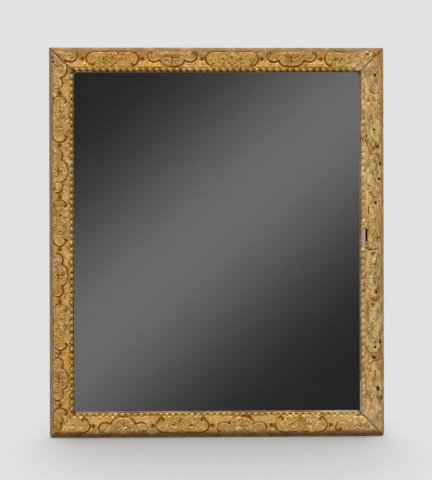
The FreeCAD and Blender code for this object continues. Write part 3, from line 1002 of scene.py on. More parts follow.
def worn_corners(points):
    """Pulls the points at the frame's four corners in to a rounded outline."""
    worn = points.copy()
    radius = np.where(points[..., 2] > 0, corner_wear[1], corner_wear[-1])
    across = np.abs(points[..., 0]) - half_width + radius
    up = np.abs(points[..., 2]) - half_height + radius
    at_corner = (across > 0) & (up > 0)
    share = np.maximum(across, up) / np.maximum(np.hypot(across, up), 1e-6)
    worn[..., 0] -= np.where(at_corner, np.sign(points[..., 0]) * across * (1 - share), 0)
    worn[..., 2] -= np.where(at_corner, np.sign(points[..., 2]) * up * (1 - share), 0)
    return worn


print("corners are rounded by", corner_wear[1], "mm at the top and", corner_wear[-1], "mm at the bottom")

# %% [markdown]
# The rail meshes.
# Each rail becomes one closed mesh: its rows of points go round the rail like hoops, and a cap shuts each
# end. With so many points, filling Blender's arrays at once is far quicker than adding faces one by one.
# The masks are kept on the points as attributes, which a material can read.

# %% From points to a mesh
def store(mesh, name, values, kind="FLOAT", field="value"):
    """Keeps a value or a vector for each point of a mesh."""
    layer = mesh.attributes.new(name, kind, "POINT")
    layer.data.foreach_set(field, values.astype(np.float32).ravel())


def mesh_from_grid(name, points, masks, gilded_rows):
    """A closed tube of quads from rows of points that go round a rail, with a cap at each end."""
    rows, columns = points.shape[:2]
    index = np.arange(rows * columns).reshape(rows, columns)
    nxt = np.roll(index, -1, axis=0)
    quads = np.stack([index[:, :-1], index[:, 1:], nxt[:, 1:], nxt[:, :-1]], axis=-1).reshape(-1, 4)
    corners = np.concatenate([quads.ravel(), index[:, 0], index[::-1, -1]])
    starts = np.concatenate([np.arange(len(quads)) * 4, len(quads) * 4 + np.array([0, rows])])
    mesh = bpy.data.meshes.new(name)
    mesh.vertices.add(rows * columns)
    mesh.vertices.foreach_set("co", (points * MM).astype(np.float32).ravel())
    mesh.loops.add(len(corners))
    mesh.loops.foreach_set("vertex_index", corners.astype(np.int32))
    mesh.polygons.add(len(starts))
    mesh.polygons.foreach_set("loop_start", starts.astype(np.int32))
    row_of_quad = np.repeat(np.arange(rows), columns - 1)
    bare_side = np.concatenate([row_of_quad >= gilded_rows, [True, True]])
    mesh.polygons.foreach_set("material_index", bare_side.astype(np.int32))
    mesh.polygons.foreach_set("use_smooth", np.ones(len(starts), bool))
    for mask, values in masks.items():
        store(mesh, mask, values)
    mesh.update(calc_edges=True)
    mesh.validate()
    return mesh


def new_piece(name, mesh, body):
    """An object for a mesh, which rides on a body."""
    piece = bpy.data.objects.new(name, mesh)
    bpy.context.scene.collection.objects.link(piece)
    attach(piece, body)
    return piece


print("masks for the points:", ", ".join(MASKS))

# %% Build the rails
# Each rail has its own stretch of the gilding's clouds
rail_apart = 1000.0
rail_pieces = []
for number, rail_name in enumerate(rails):
    s, u, v, masks = rail_shell(rail_name)
    points = worn_corners(rail_points(rail_name, s, u, v))
    mesh = mesh_from_grid(f"{rail_name}_rail_carving", points, masks, len(s) - len(plain_rows))
    run = s * grain_run[rail_name] + number * rail_apart
    store(mesh, "rail_place", np.stack([run, u, v], axis=-1), "FLOAT_VECTOR", "vector")
    piece = new_piece(f"{rail_name}_rail_carving", mesh, "mirror")
    mesh.set_sharp_from_angle(angle=math.radians(50))
    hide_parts(f"{rail_name}_rail")
    rail_pieces.append(piece)
    print(piece.name, "has", len(mesh.polygons), "faces")

# %% [markdown]
# The corner keys.
# A thin three-cornered key is glued into a slot across each mitre. Only its edges show, on the frame's
# outer walls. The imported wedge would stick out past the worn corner, so each key is made again: an
# outline pushed through its thickness, with its tip worn round like the corner it sits in.

# %% Corner keys
key_round_steps = 6


def box_mm(node):
    """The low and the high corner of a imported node, in millimetres."""
    return [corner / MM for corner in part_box(node)]


def closed_mesh(name, points, faces):
    """A mesh, given in millimetres, with its faces turned outwards."""
    mesh = bpy.data.meshes.new(name)
    mesh.from_pydata([tuple(c * MM for c in point) for point in points], [], faces)
    shell = bmesh.new()
    shell.from_mesh(mesh)
    bmesh.ops.recalc_face_normals(shell, faces=shell.faces)
    shell.to_mesh(mesh)
    shell.free()
    return mesh


def corner_key(name, side, height):
    """A key with its tip rounded. side and height are -1 or 1."""
    low, high = box_mm(name)
    leg = high.x - low.x
    radius = corner_wear[height]
    tip = [(half_width - leg, half_height)]
    for step in range(key_round_steps + 1):
        turn = math.pi / 2 * step / key_round_steps
        reach_x, reach_z = radius * math.sin(turn), radius * math.cos(turn)
        tip.append((half_width - radius + reach_x, half_height - radius + reach_z))
    tip.append((half_width, half_height - leg))
    count = len(tip)
    points = [(side * x, y, height * z) for y in (low.y, high.y) for x, z in tip]
    faces = [tuple(range(count)), tuple(range(count, 2 * count))]
    for i in range(count):
        after = (i + 1) % count
        faces.append((i, after, after + count, i + count))
    piece = new_piece(f"{name}_edge", closed_mesh(name, points, faces), "mirror")
    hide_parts(name)
    return piece


key_pieces = []
for height_name, height in (("top", 1), ("bottom", -1)):
    for side_name, side in (("left", -1), ("right", 1)):
        key_pieces.append(corner_key(f"corner_key_{height_name}_{side_name}", side, height))
print("keys:", [piece.name for piece in key_pieces])

# %% [markdown]
# The nails.
# Hand-cut nails have tapered square shanks and heads beaten to four flat facets. They are too small to
# model one by one, and copies of one nail would look machine-made. So a function makes a nail with a
# slightly different head each time, and a list says where they go.

# %% Where the nails are
nail_head = 4.4
nail_inset = 34.0
side_nail_count = 3
plank_names = [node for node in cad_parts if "plank" in node]
nail_line = box_mm("backboard_nails")[1]
nail_x, nail_z = nail_line.x - nail_head / 2, nail_line.z - nail_head / 2
board_nails = []
for plank_name in plank_names:
    low, high = box_mm(plank_name)
    for side in (-1, 1):
        x = (low.x + high.x) / 2 + side * ((high.x - low.x) / 2 - nail_inset)
        board_nails += [(x, nail_z), (x, -nail_z)]
for i in range(side_nail_count):
    z = (i - (side_nail_count - 1) / 2) * (overall_height - 2 * rail_width) / side_nail_count
    board_nails += [(-nail_x, z), (nail_x, z)]
low, high = box_mm("hanger_nails")
strap_nails = []
for x in (low.x + nail_head / 2, high.x - nail_head / 2):
    strap_nails += [(x, low.z + nail_head / 2), (x, high.z - nail_head / 2)]
print(len(board_nails), "nails in the board and", len(strap_nails), "in the straps")

# %% Forge the nails
nail_head_height = 1.2
nail_turn = 0.12


def forge_nails(node, places, seed):
    """One mesh of all the nails of a node."""
    rng = np.random.default_rng(seed)
    low, high = box_mm(node)
    seat = high.y - nail_head_height
    # Half width and level of each square from the point to the beaten crown
    wide = nail_head / 2
    squares = [(0.5, low.y), (1.1, seat), (wide, seat), (wide, seat + 0.45), (0.7, high.y)]
    points, faces = [], []
    for x, z in places:
        base = len(points)
        turn = rng.uniform(-nail_turn, nail_turn)
        for half, y in squares:
            for corner in range(4):
                angle = turn + math.pi * (corner / 2 + 0.25)
                reach = half * math.sqrt(2) * rng.uniform(0.9, 1.0)
                points.append((x + reach * math.cos(angle), y, z + reach * math.sin(angle)))
        for ring in range(len(squares) - 1):
            for corner in range(4):
                a, b = base + 4 * ring + corner, base + 4 * ring + (corner + 1) % 4
                faces.append((a, b, b + 4, a + 4))
        faces.append(tuple(base + corner for corner in range(4)))
        faces.append(tuple(base + 4 * (len(squares) - 1) + corner for corner in range(4)))
    piece = new_piece(f"{node}_forged", closed_mesh(node, points, faces), "mirror")
    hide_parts(node)
    return piece


nail_pieces = [forge_nails("backboard_nails", board_nails, 3), forge_nails("hanger_nails", strap_nails, 4)]
print("nails:", [(piece.name, len(piece.data.polygons)) for piece in nail_pieces])

# %% [markdown]
# The backboard.
# Three upright softwood planks, planed by hand and nailed on from behind. A plane leaves long shallow
# hollows and a hammer leaves a dent round each nail. A bump map would do from afar. Here the back of a
# plank is a grid of heights, like the carving, so that these marks are real shape and catch the light.

# %% The planed back of a plank
plank_round = 1.6
plane_width, plane_depth = 31.0, 0.15
ripple_depth = 0.05
dent_width, dent_depth = 4.2, 0.55
stain_width = 6.0
knot_rise, knot_stretch = 0.12, 1.3
# Offset from the plank's middle, height and radius of each knot
knots = {
    "backboard_plank_1": [(34.0, 131.0, 7.0), (-52.0, -96.0, 5.0)],
    "backboard_plank_2": [(-18.0, -212.0, 8.0), (47.0, 36.0, 4.5)],
    "backboard_plank_3": [(21.0, 214.0, 6.0), (-38.0, -30.0, 4.0), (57.0, -181.0, 7.5)],
}


def graded(low, high, step):
    """Places from low to high, closer at both ends, where the edge is rounded."""
    close = np.array([0.0, 0.3, 0.7, 1.2, 2.0])
    count = round((high - low) / step)
    plain = np.linspace(low + close[-1] + step, high - close[-1] - step, count)
    return np.concatenate([low + close, plain, (high - close)[::-1]])


def plank_face(name, x, z, low, high):
    """How far the back of a plank lies below its highest level, and its masks."""
    seed = 90 + plank_names.index(name)
    to_edge = np.minimum(np.minimum(x - low.x, high.x - x), np.minimum(z - low.z, high.z - z))
    drop = plank_round * np.clip(1 - to_edge / (1.3 * plank_round), 0, 1) ** 2
    ridge = x + 4 * hand_waves(z, x, 120.0, seed)
    drop += plane_depth + plane_depth * np.cos(2 * math.pi * ridge / plane_width)
    drop += ripple_depth + ripple_depth * hand_waves(z / 12, x, 2.0, seed + 10)
    masks = {"stains": np.zeros(x.shape), "knots": np.zeros(x.shape)}
    for place_x, place_z in board_nails:
        away = np.hypot(x - place_x, z - place_z)
        drop += dent_depth * hump(away, dent_width)
        lay(masks, "stains", hump(away, stain_width))
    for offset, knot_z, radius in knots[name]:
        away = np.hypot(x - (low.x + high.x) / 2 - offset, (z - knot_z) / knot_stretch)
        drop -= knot_rise * hump(away, radius)
        lay(masks, "knots", np.exp(-((away / radius) ** 4)))
    return np.clip(drop, 0, None), masks


def grain_lines(name, across, z):
    """Where the grain lies across a plank, bent aside by its knots."""
    lines = across + 2.5 * hand_waves(z, across, 160.0, 80 + plank_names.index(name))
    for offset, knot_z, radius in knots[name]:
        side = across - offset
        near = hump(side, 2.2 * radius) * hump(z - knot_z, 4.0 * radius)
        lines -= np.tanh(side / (0.5 * radius)) * radius * near
    return lines


print("knots:", {name: len(places) for name, places in knots.items()})

# %% Planks
plank_steps = (1.9, 2.6)
# Each plank has its own stretch of the grain
plank_apart = 400.0


def plank(name):
    """A plank with a worked back, closed by plain sides and a plain front."""
    low, high = box_mm(name)
    x, z = np.meshgrid(graded(low.x, high.x, plank_steps[0]), graded(low.z, high.z, plank_steps[1]))
    drop, masks = plank_face(name, x, z, low, high)
    index = np.arange(x.size).reshape(x.shape)
    quads = np.stack([index[:-1, :-1], index[:-1, 1:], index[1:, 1:], index[1:, :-1]], axis=-1)
    rim = np.concatenate([index[0, :-1], index[:-1, -1], index[-1, :0:-1], index[:0:-1, 0]])
    back = np.stack([x, high.y - drop, z], axis=-1).reshape(-1, 3)
    front = back[rim]
    front[:, 1] = low.y
    foot = x.size + np.arange(len(rim))
    sides = np.stack([rim, foot, np.roll(foot, -1), np.roll(rim, -1)], axis=-1)
    faces = [*quads.reshape(-1, 4).tolist(), *sides.tolist(), foot.tolist()]
    mesh = closed_mesh(name, np.vstack([back, front]).tolist(), faces)
    mesh.polygons.foreach_set("use_smooth", np.ones(len(faces), bool))
    for mask, values in masks.items():
        store(mesh, mask, np.concatenate([values.ravel(), np.zeros(len(rim))]))
    shift = plank_apart * (1 + plank_names.index(name))
    lines = grain_lines(name, back[:, 0] - (low.x + high.x) / 2, back[:, 2])
    grain_place = np.stack([lines + shift, back[:, 1], back[:, 2] + 3 * shift], axis=-1)
    store(mesh, "grain_place", np.vstack([grain_place, grain_place[rim]]), "FLOAT_VECTOR", "vector")
    mesh.set_sharp_from_angle(angle=math.radians(40))
    piece = new_piece(f"{name}_planed", mesh, "mirror")
    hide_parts(name)
    return piece


plank_pieces = [plank(name) for name in plank_names]
print("planks:", [(piece.name, len(piece.data.polygons)) for piece in plank_pieces])

# %% [markdown]
# Materials.
# Each finish is a small tree of nodes. They could be wired by hand in the Shader Editor. In code, a few
# helpers keep it short: one adds a node, sets its values and links whatever sockets it is given.

# %% Node helpers
def add(tree, kind, inputs=None, **settings):
    """Adds a node. An input is a value, or a socket to link."""
    made = tree.nodes.new(kind)
    for name, value in settings.items():
        setattr(made, name, value)
    for name, value in (inputs or {}).items():
        if isinstance(value, bpy.types.NodeSocket):
            tree.links.new(value, made.inputs[name])
        else:
            made.inputs[name].default_value = value
    return made


def mix_colour(tree, share, first, second, blend="MIX"):
    """The colour between two colours."""
    made = add(tree, "ShaderNodeMix", {0: share, 6: first, 7: second}, data_type="RGBA", blend_type=blend)
    return made.outputs[2]


def sums(tree, operation, first, second=0.0, clamp=False):
    """Arithmetic with two values."""
    made = add(tree, "ShaderNodeMath", {0: first, 1: second}, operation=operation, use_clamp=clamp)
    return made.outputs[0]


def times(tree, first, second):
    """Two values multiplied."""
    return sums(tree, "MULTIPLY", first, second)


def spread(tree, value, low, high, to_low=0.0, to_high=1.0):
    """Moves a value's range to another range."""
    ranges = {"Value": value, "From Min": low, "From Max": high, "To Min": to_low, "To Max": to_high}
    return add(tree, "ShaderNodeMapRange", ranges, interpolation_type="SMOOTHSTEP").outputs[0]


def stored(tree, name, output="Fac"):
    """A mask or a place that is kept on the mesh's points."""
    return add(tree, "ShaderNodeAttribute", attribute_name=name).outputs[output]


def object_place(tree):
    """Where a point is on its object."""
    return add(tree, "ShaderNodeTexCoord").outputs["Object"]


node_helpers = (add, mix_colour, sums, times, spread, stored, object_place)
print("helpers for nodes:", ", ".join(helper.__name__ for helper in node_helpers))


# %% Materials and groups
def new_group(name, inputs, outputs):
    """A node group with named sockets, and its two end nodes."""
    group = bpy.data.node_groups.new(name, "ShaderNodeTree")
    for socket, (kind, value) in inputs.items():
        made = group.interface.new_socket(socket, in_out="INPUT", socket_type=f"NodeSocket{kind}")
        if value is not None:
            made.default_value = value
    for socket, kind in outputs.items():
        group.interface.new_socket(socket, in_out="OUTPUT", socket_type=f"NodeSocket{kind}")
    return group, group.nodes.new("NodeGroupInput"), group.nodes.new("NodeGroupOutput")


def use_group(tree, group, inputs):
    """Places a group in a material."""
    return add(tree, "ShaderNodeGroup", inputs, node_tree=group)


def new_material(name):
    """A material with its Principled shader."""
    material = bpy.data.materials.new(name)
    material.use_nodes = True
    tree = material.node_tree
    return material, tree, tree.nodes["Principled BSDF"]


def roughen(tree, shader, height, strength, distance):
    """Gives a shader a bump."""
    bump = add(tree, "ShaderNodeBump", {"Height": height, "Strength": strength, "Distance": distance})
    tree.links.new(bump.outputs[0], shader.inputs["Normal"])


material_helpers = (new_group, use_group, new_material, roughen)
print("helpers for materials:", ", ".join(helper.__name__ for helper in material_helpers))

# %% [markdown]
# Cloudiness.
# Old surfaces vary at several scales at once. This group gives a broad and a fine variation from the same
# place, and the gilding, the glass and the iron all use it with their own sizes. Copying the nodes into
# each material would work, but a group is changed in one place.

# %% The cloudiness group
fine_share = 11.0
clouds, start, end = new_group(
    "Cloudiness", {"Place": ("Vector", None), "Size": ("Float", 1.0)}, {"Broad": "Float", "Fine": "Float"}
)
scale = sums(clouds, "DIVIDE", 1.0, start.outputs["Size"])
fine_scale = times(clouds, scale, fine_share)
for output, noise_scale, detail in (("Broad", scale, 3.0), ("Fine", fine_scale, 4.0)):
    noise_inputs = {"Vector": start.outputs["Place"], "Scale": noise_scale, "Detail": detail}
    noise = add(clouds, "ShaderNodeTexNoise", noise_inputs)
    clouds.links.new(noise.outputs[0], end.inputs[output])
print(clouds.name, "has", len(clouds.nodes), "nodes")

# %% [markdown]
# Water gilding.
# Gold leaf is laid on red clay and burnished. In the cuts the clay and old dirt show dark red-brown,
# deepened with painted shade, in patches the leaf is rubbed down to the clay, and the punched ground keeps
# the brightest gold. Highlights are painted on in pale gold, and shade is painted dark in the holes, on the
# lip and on the bottom rail's edge. It could be a plain gold metal under a painted texture. Here the
# colours are laid over each other in the order in which the years laid them, with the painted highlights
# and shade among them, each through a mask that was carved into the mesh.

# %% The gilder's colours
LEAF_DEEP = (0.40, 0.180, 0.026, 1)
LEAF_BRIGHT = (0.60, 0.325, 0.068, 1)
# Pale gold of the painted highlights
PAINTED_HIGHLIGHT_GOLD = (0.87, 0.605, 0.245, 1)
SPANDREL_CLAY = (0.50, 0.240, 0.077, 1)
RUBBED_CLAY = (0.40, 0.155, 0.040, 1)
# Clay, dirt and painted shade in the cuts
CUT_CLAY_AND_SHADE = (0.235, 0.070, 0.002, 1)
WORN_PALE = (0.69, 0.525, 0.275, 1)
WORN_OLIVE = (0.34, 0.245, 0.080, 1)
WORN_PINK = (0.50, 0.300, 0.160, 1)
FLECK_DIRT = (0.175, 0.100, 0.022, 1)
# Mask, strength and colour of the leaf that differs from place to place
leaf_kinds = (
    ("hatching", 0.8, (0.58, 0.335, 0.062, 1)),
    ("drapery", 0.7, (0.50, 0.265, 0.078, 1)),
    ("ground", 0.85, (0.93, 0.530, 0.120, 1)),
)
# Mask and colour of what covers the leaf or has broken it away, and of the painted shade and highlight
cover_kinds = (
    ("edges", (0.25, 0.165, 0.083, 1)),
    ("grime_and_shade", (0.07, 0.033, 0.010, 1)),
    ("lip", (0.125, 0.075, 0.033, 1)),
    ("bare", (0.54, 0.45, 0.31, 1)),
    ("plaster_and_highlight", (0.80, 0.74, 0.60, 1)),
    ("holes", (0.012, 0.007, 0.004, 1)),
)
# Mask and share of what takes the shine from the metal
dull_kinds = (("bare", 1.0), ("plaster_and_highlight", 1.0), ("edges", 1.0), ("lip", 1.0), ("spandrels", 0.5))
leaf_metal = 0.72
# Sizes of the variations in the leaf, in millimetres
cloud_size, blotch_size, speck_size, mottle_size = 22.0, 8.0, 4.0, 2.2
print(len(leaf_kinds), "kinds of leaf and", len(cover_kinds), "kinds of cover")


# %% The gilding
def leaf_colour(tree, cloud, speck, place, worn, cuts):
    """The colours of the leaf, from the clay up to the dirt, with painted highlights and painted shade."""
    patchy = spread(tree, cloud.outputs["Fine"], 0.35, 0.65)
    leaf = mix_colour(tree, spread(tree, cloud.outputs["Broad"], 0.3, 0.7), LEAF_DEEP, LEAF_BRIGHT)
    for mask, strength, colour in leaf_kinds:
        leaf = mix_colour(tree, times(tree, stored(tree, mask), strength), leaf, colour)
    leaf = mix_colour(tree, times(tree, stored(tree, "spandrels"), patchy), leaf, SPANDREL_CLAY)
    blotch = use_group(tree, clouds, {"Place": place, "Size": blotch_size})
    stain = mix_colour(tree, spread(tree, blotch.outputs["Broad"], 0.4, 0.6), WORN_OLIVE, WORN_PALE)
    stain = mix_colour(tree, spread(tree, cloud.outputs["Broad"], 0.52, 0.68), stain, WORN_PINK)
    leaf = mix_colour(tree, worn, leaf, stain)
    rubbed = times(tree, spread(tree, speck.outputs["Broad"], 0.52, 0.68), 0.6)
    leaf = mix_colour(tree, rubbed, leaf, RUBBED_CLAY)
    leaf = mix_colour(tree, times(tree, stored(tree, "flecks"), 0.7), leaf, FLECK_DIRT)
    mottle = use_group(tree, clouds, {"Place": place, "Size": mottle_size})
    mottled = spread(tree, mottle.outputs["Broad"], 0.35, 0.65, 0.82, 1.2)
    leaf = mix_colour(tree, 1.0, leaf, mottled, "MULTIPLY")
    leaf = mix_colour(tree, stored(tree, "painted_highlights"), leaf, PAINTED_HIGHLIGHT_GOLD)
    leaf = mix_colour(tree, times(tree, cuts, 0.95), leaf, CUT_CLAY_AND_SHADE)
    for mask, colour in cover_kinds:
        leaf = mix_colour(tree, stored(tree, mask), leaf, colour)
    return leaf


def gilding():
    material, tree, shader = new_material("worn_water_gilding")
    shader.inputs["Specular IOR Level"].default_value = 0.03
    place = stored(tree, "rail_place", "Vector")
    cloud = use_group(tree, clouds, {"Place": place, "Size": cloud_size})
    speck = use_group(tree, clouds, {"Place": place, "Size": speck_size})
    worn = times(tree, stored(tree, "worn"), spread(tree, cloud.outputs["Fine"], 0.3, 0.6, 0.4, 1.0))
    cuts = spread(tree, stored(tree, "cuts"), 0.1, 0.65)
    tree.links.new(leaf_colour(tree, cloud, speck, place, worn, cuts), shader.inputs["Base Color"])
    dull = sums(tree, "MAXIMUM", cuts, times(tree, worn, 0.7))
    for mask, share in dull_kinds:
        dull = sums(tree, "MAXIMUM", dull, times(tree, stored(tree, mask), share))
    metal = times(tree, sums(tree, "SUBTRACT", 1.0, dull, clamp=True), leaf_metal)
    tree.links.new(metal, shader.inputs["Metallic"])
    polish = spread(tree, speck.outputs["Fine"], 0.3, 0.7, 0.32, 0.5)
    tree.links.new(sums(tree, "MAXIMUM", polish, times(tree, dull, 0.8)), shader.inputs["Roughness"])
    roughen(tree, shader, speck.outputs["Broad"], 1.0, 0.0006)
    return material


gilded = gilding()
print("gilding made of", len(gilded.node_tree.nodes), "nodes")

# %% [markdown]
# Bare wood.
# The backs of the rails, the keys, the blocks and the planks are bare wood. A board is a slice through
# growth rings, so its figure is like the contour lines of a hilly map: a smooth noise, stretched along
# the length, and a sine of its height. Bands at even distances, as a Wave texture gives, would look like
# cloth. One group makes the grain, and each wood gives its own colours and direction.

# %% The wood grain group
ring_count = 75.0
grain, start, end = new_group(
    "Wood grain",
    {
        "Place": ("Vector", None),
        "Stretch": ("Vector", (1.0, 1.0, 1.0)),
        "Pale": ("Color", (0.4, 0.27, 0.15, 1)),
        "Dark": ("Color", (0.2, 0.12, 0.06, 1)),
    },
    {"Colour": "Color", "Height": "Float"},
)
stretching = {0: start.outputs["Place"], 1: start.outputs["Stretch"]}
stretched = add(grain, "ShaderNodeVectorMath", stretching, operation="MULTIPLY").outputs[0]
wander, fibres, hills = (
    add(grain, "ShaderNodeTexNoise", {"Vector": stretched, "Scale": scale, "Detail": detail}).outputs[0]
    for scale, detail in ((0.7, 3.0), (6.0, 5.0), (0.3, 1.0))
)
rings = spread(grain, sums(grain, "SINE", times(grain, hills, ring_count)), -1.0, 0.9)
broad_tone = sums(grain, "ADD", times(grain, wander, 0.45), times(grain, fibres, 0.33))
tone = spread(grain, sums(grain, "ADD", broad_tone, times(grain, rings, 0.22)), 0.3, 0.72)
grain.links.new(mix_colour(grain, tone, start.outputs["Dark"], start.outputs["Pale"]), end.inputs["Colour"])
grain.links.new(tone, end.inputs["Height"])
print(grain.name, "has", len(grain.nodes), "nodes")


# %% The woods
def bare_wood(name, stretch, pale, dark, place_name=None, marks=()):
    """A bare wood. stretch is the grain's fineness along each axis, and marks are stored masks."""
    material, tree, shader = new_material(name)
    place = stored(tree, place_name, "Vector") if place_name else object_place(tree)
    wood = use_group(tree, grain, {"Place": place, "Stretch": stretch, "Pale": pale, "Dark": dark})
    colour = wood.outputs["Colour"]
    for mark, mark_colour, strength in marks:
        colour = mix_colour(tree, times(tree, stored(tree, mark), strength), colour, mark_colour)
    tree.links.new(colour, shader.inputs["Base Color"])
    tree.links.new(spread(tree, wood.outputs["Height"], 0.0, 1.0, 0.85, 0.65), shader.inputs["Roughness"])
    roughen(tree, shader, wood.outputs["Height"], 0.5, 0.0004)
    return material


RAIL_PALE, RAIL_DARK = (0.33, 0.20, 0.095, 1), (0.16, 0.09, 0.04, 1)
PINE_PALE, PINE_DARK = (0.40, 0.26, 0.135, 1), (0.20, 0.115, 0.055, 1)
KEY_PALE, KEY_DARK = (0.24, 0.14, 0.07, 1), (0.12, 0.065, 0.03, 1)
IRON_STAIN, KNOT_BROWN = (0.035, 0.025, 0.018, 1), (0.085, 0.04, 0.016, 1)
rail_wood = bare_wood("bare_rail_wood", (0.012, 0.35, 0.35), RAIL_PALE, RAIL_DARK, "rail_place")
block_pine = bare_wood("block_pine", (160.0, 160.0, 30.0), PINE_PALE, PINE_DARK)
key_wood = bare_wood("key_wood", (120.0, 400.0, 400.0), KEY_PALE, KEY_DARK)
print("woods:", rail_wood.name, block_pine.name, key_wood.name)

# %% Dress the wooden pieces
pine_marks = (("stains", IRON_STAIN, 0.8), ("knots", KNOT_BROWN, 0.85))
# Planks from different trees are never of one tone
plank_tones = (1.0, 0.8, 0.92)
for number, (piece, tone) in enumerate(zip(plank_pieces, plank_tones), 1):
    pale, dark = (tuple(tone * c for c in colour[:3]) + (1,) for colour in (PINE_PALE, PINE_DARK))
    pine = bare_wood(f"aged_pine_{number}", (0.16, 0.16, 0.006), pale, dark, "grain_place", pine_marks)
    piece.data.materials.append(pine)
for piece in rail_pieces:
    piece.data.materials.append(gilded)
    piece.data.materials.append(rail_wood)
for piece in key_pieces:
    piece.data.materials.append(key_wood)
print("dressed", len(plank_pieces), "planks,", len(rail_pieces), "rails and", len(key_pieces), "keys")

# %% [markdown]
# Silvered glass.
# A mirror is a polished metal seen through glass. It could be a clear sheet over a metal one. Here the
# front face itself mirrors, which is what the eye sees, with a little haze and a few clouded places in
# the silver.

# %% The mirror
SILVER_CLEAR, SILVER_CLOUDED = (0.88, 0.885, 0.885, 1), (0.80, 0.80, 0.79, 1)
silver_cloud_size = 0.12


def silvered_glass():
    material, tree, shader = new_material("silvered_glass")
    cloud = use_group(tree, clouds, {"Place": object_place(tree), "Size": silver_cloud_size})
    clouded = spread(tree, cloud.outputs["Fine"], 0.62, 0.8)
    tree.links.new(mix_colour(tree, clouded, SILVER_CLEAR, SILVER_CLOUDED), shader.inputs["Base Color"])
    haze = spread(tree, cloud.outputs["Broad"], 0.35, 0.75, 0.012, 0.035)
    tree.links.new(haze, shader.inputs["Roughness"])
    shader.inputs["Metallic"].default_value = 1.0
    return material


silvered = silvered_glass()
print(silvered.name, "has", len(silvered.node_tree.nodes), "nodes")

# %% [markdown]
# Forged iron.
# The straps, rings and nails are black from the forge, with rust in patches. Rust is no metal, so where
# it shows, the surface is browner and less metallic. One mask drives both, so that they always agree.

# %% The iron
IRON_BLACK, IRON_RUST = (0.055, 0.05, 0.046, 1), (0.13, 0.06, 0.03, 1)
rust_size = 0.006


def forged_iron():
    material, tree, shader = new_material("forged_iron")
    cloud = use_group(tree, clouds, {"Place": object_place(tree), "Size": rust_size})
    rust = spread(tree, cloud.outputs["Broad"], 0.45, 0.7)
    tree.links.new(mix_colour(tree, rust, IRON_BLACK, IRON_RUST), shader.inputs["Base Color"])
    tree.links.new(spread(tree, rust, 0.0, 1.0, 0.85, 0.25), shader.inputs["Metallic"])
    tree.links.new(spread(tree, cloud.outputs["Fine"], 0.3, 0.7, 0.42, 0.7), shader.inputs["Roughness"])
    roughen(tree, shader, cloud.outputs["Fine"], 0.6, 0.0003)
    return material


iron = forged_iron()
print(iron.name, "has", len(iron.node_tree.nodes), "nodes")

# %% [markdown]
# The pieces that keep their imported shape.
# The plate, its blocks, the straps and the rings are right as they are packed, so they only take a
# finish. No arris on a real piece is quite sharp, so a Bevel modifier softens those of the wood and the
# iron.

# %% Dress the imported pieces
block_soften, strap_soften, ring_soften = 0.0006, 0.0002, 0.00035


def dress(node, material, soften=0.0):
    """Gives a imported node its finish, and rounds its arrises a little."""
    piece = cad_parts[node]
    piece.data.materials.clear()
    piece.data.materials.append(material)
    if soften:
        weld = piece.modifiers.new("weld", "WELD")
        weld.merge_threshold = 1e-6
        bevel = piece.modifiers.new("soften", "BEVEL")
        bevel.width = soften
        bevel.segments = 2
        bevel.angle_limit = math.radians(40)


dress("mirror_plate", silvered)
dress("plate_blocks", block_pine, block_soften)
for side in ("left", "right"):
    dress(f"{side}_hanger_strap", iron, strap_soften)
    dress(f"{side}_hanging_ring", iron, ring_soften)
for piece in nail_pieces:
    piece.data.materials.append(iron)
print("dressed the plate, the blocks, the hangers and", len(nail_pieces), "groups of nails")

# %% [markdown]
# The floor.
# The mirror stands on a pale sweep that has no end. A curved backdrop could be modelled, but it would
# show from some sides. Here the floor is a wide sheet that keeps its shadows in a long oval under the
# frame, and glows as bright as the sky all round it. The glass doesn't see it, and mirrors only the sky
# and a cloth.

# %% The floor
BACKGROUND = 0.76
FLOOR_PALE = 0.425
WHITE = (1, 1, 1, 1)
floor_reach = 60.0
# How fast the shadows fade to the sides and to the front and back, and where they start and stop fading
shadow_oval = (2.6, 0.9, 0.0)
shadow_fade = (0.55, 0.95)
scene = bpy.context.scene
scene.view_settings.view_transform = "Standard"


def flat_sheet(name, corners):
    """A four-cornered sheet."""
    mesh = bpy.data.meshes.new(name)
    mesh.from_pydata(corners, [], [(0, 1, 2, 3)])
    sheet = bpy.data.objects.new(name, mesh)
    scene.collection.objects.link(sheet)
    sheet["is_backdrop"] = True
    return sheet


floor_signs = ((-1, -1), (1, -1), (1, 1), (-1, 1))
floor = flat_sheet("floor", [(x * floor_reach, y * floor_reach, cad_low.z) for x, y in floor_signs])
floor_material, floor_tree, floor_shader = new_material("pale_floor")
floor_shader.inputs["Base Color"].default_value = (FLOOR_PALE, FLOOR_PALE, FLOOR_PALE, 1)
floor_shader.inputs["Roughness"].default_value = 0.95
floor_shader.inputs["Specular IOR Level"].default_value = 0.0
squeezing = {0: object_place(floor_tree), 1: shadow_oval}
oval = add(floor_tree, "ShaderNodeVectorMath", squeezing, operation="MULTIPLY").outputs[0]
far_off = add(floor_tree, "ShaderNodeVectorMath", {0: oval}, operation="LENGTH").outputs["Value"]
fade = spread(floor_tree, far_off, *shadow_fade)
sweep = add(floor_tree, "ShaderNodeEmission", {"Color": WHITE, "Strength": BACKGROUND})
faded = add(floor_tree, "ShaderNodeMixShader", {0: fade, 1: floor_shader.outputs[0], 2: sweep.outputs[0]})
floor_tree.links.new(faded.outputs[0], floor_tree.nodes["Material Output"].inputs["Surface"])
floor.data.materials.append(floor_material)
floor.visible_glossy = False
print("the floor lies at z =", round(cad_low.z, 4), "m")

# %% [markdown]
# The sky.
# What the camera sees of the sky is an even pale grey. What lights the mirror is brighter above than
# below, as in a room with a white ceiling. A Light Path node lets one world do both.

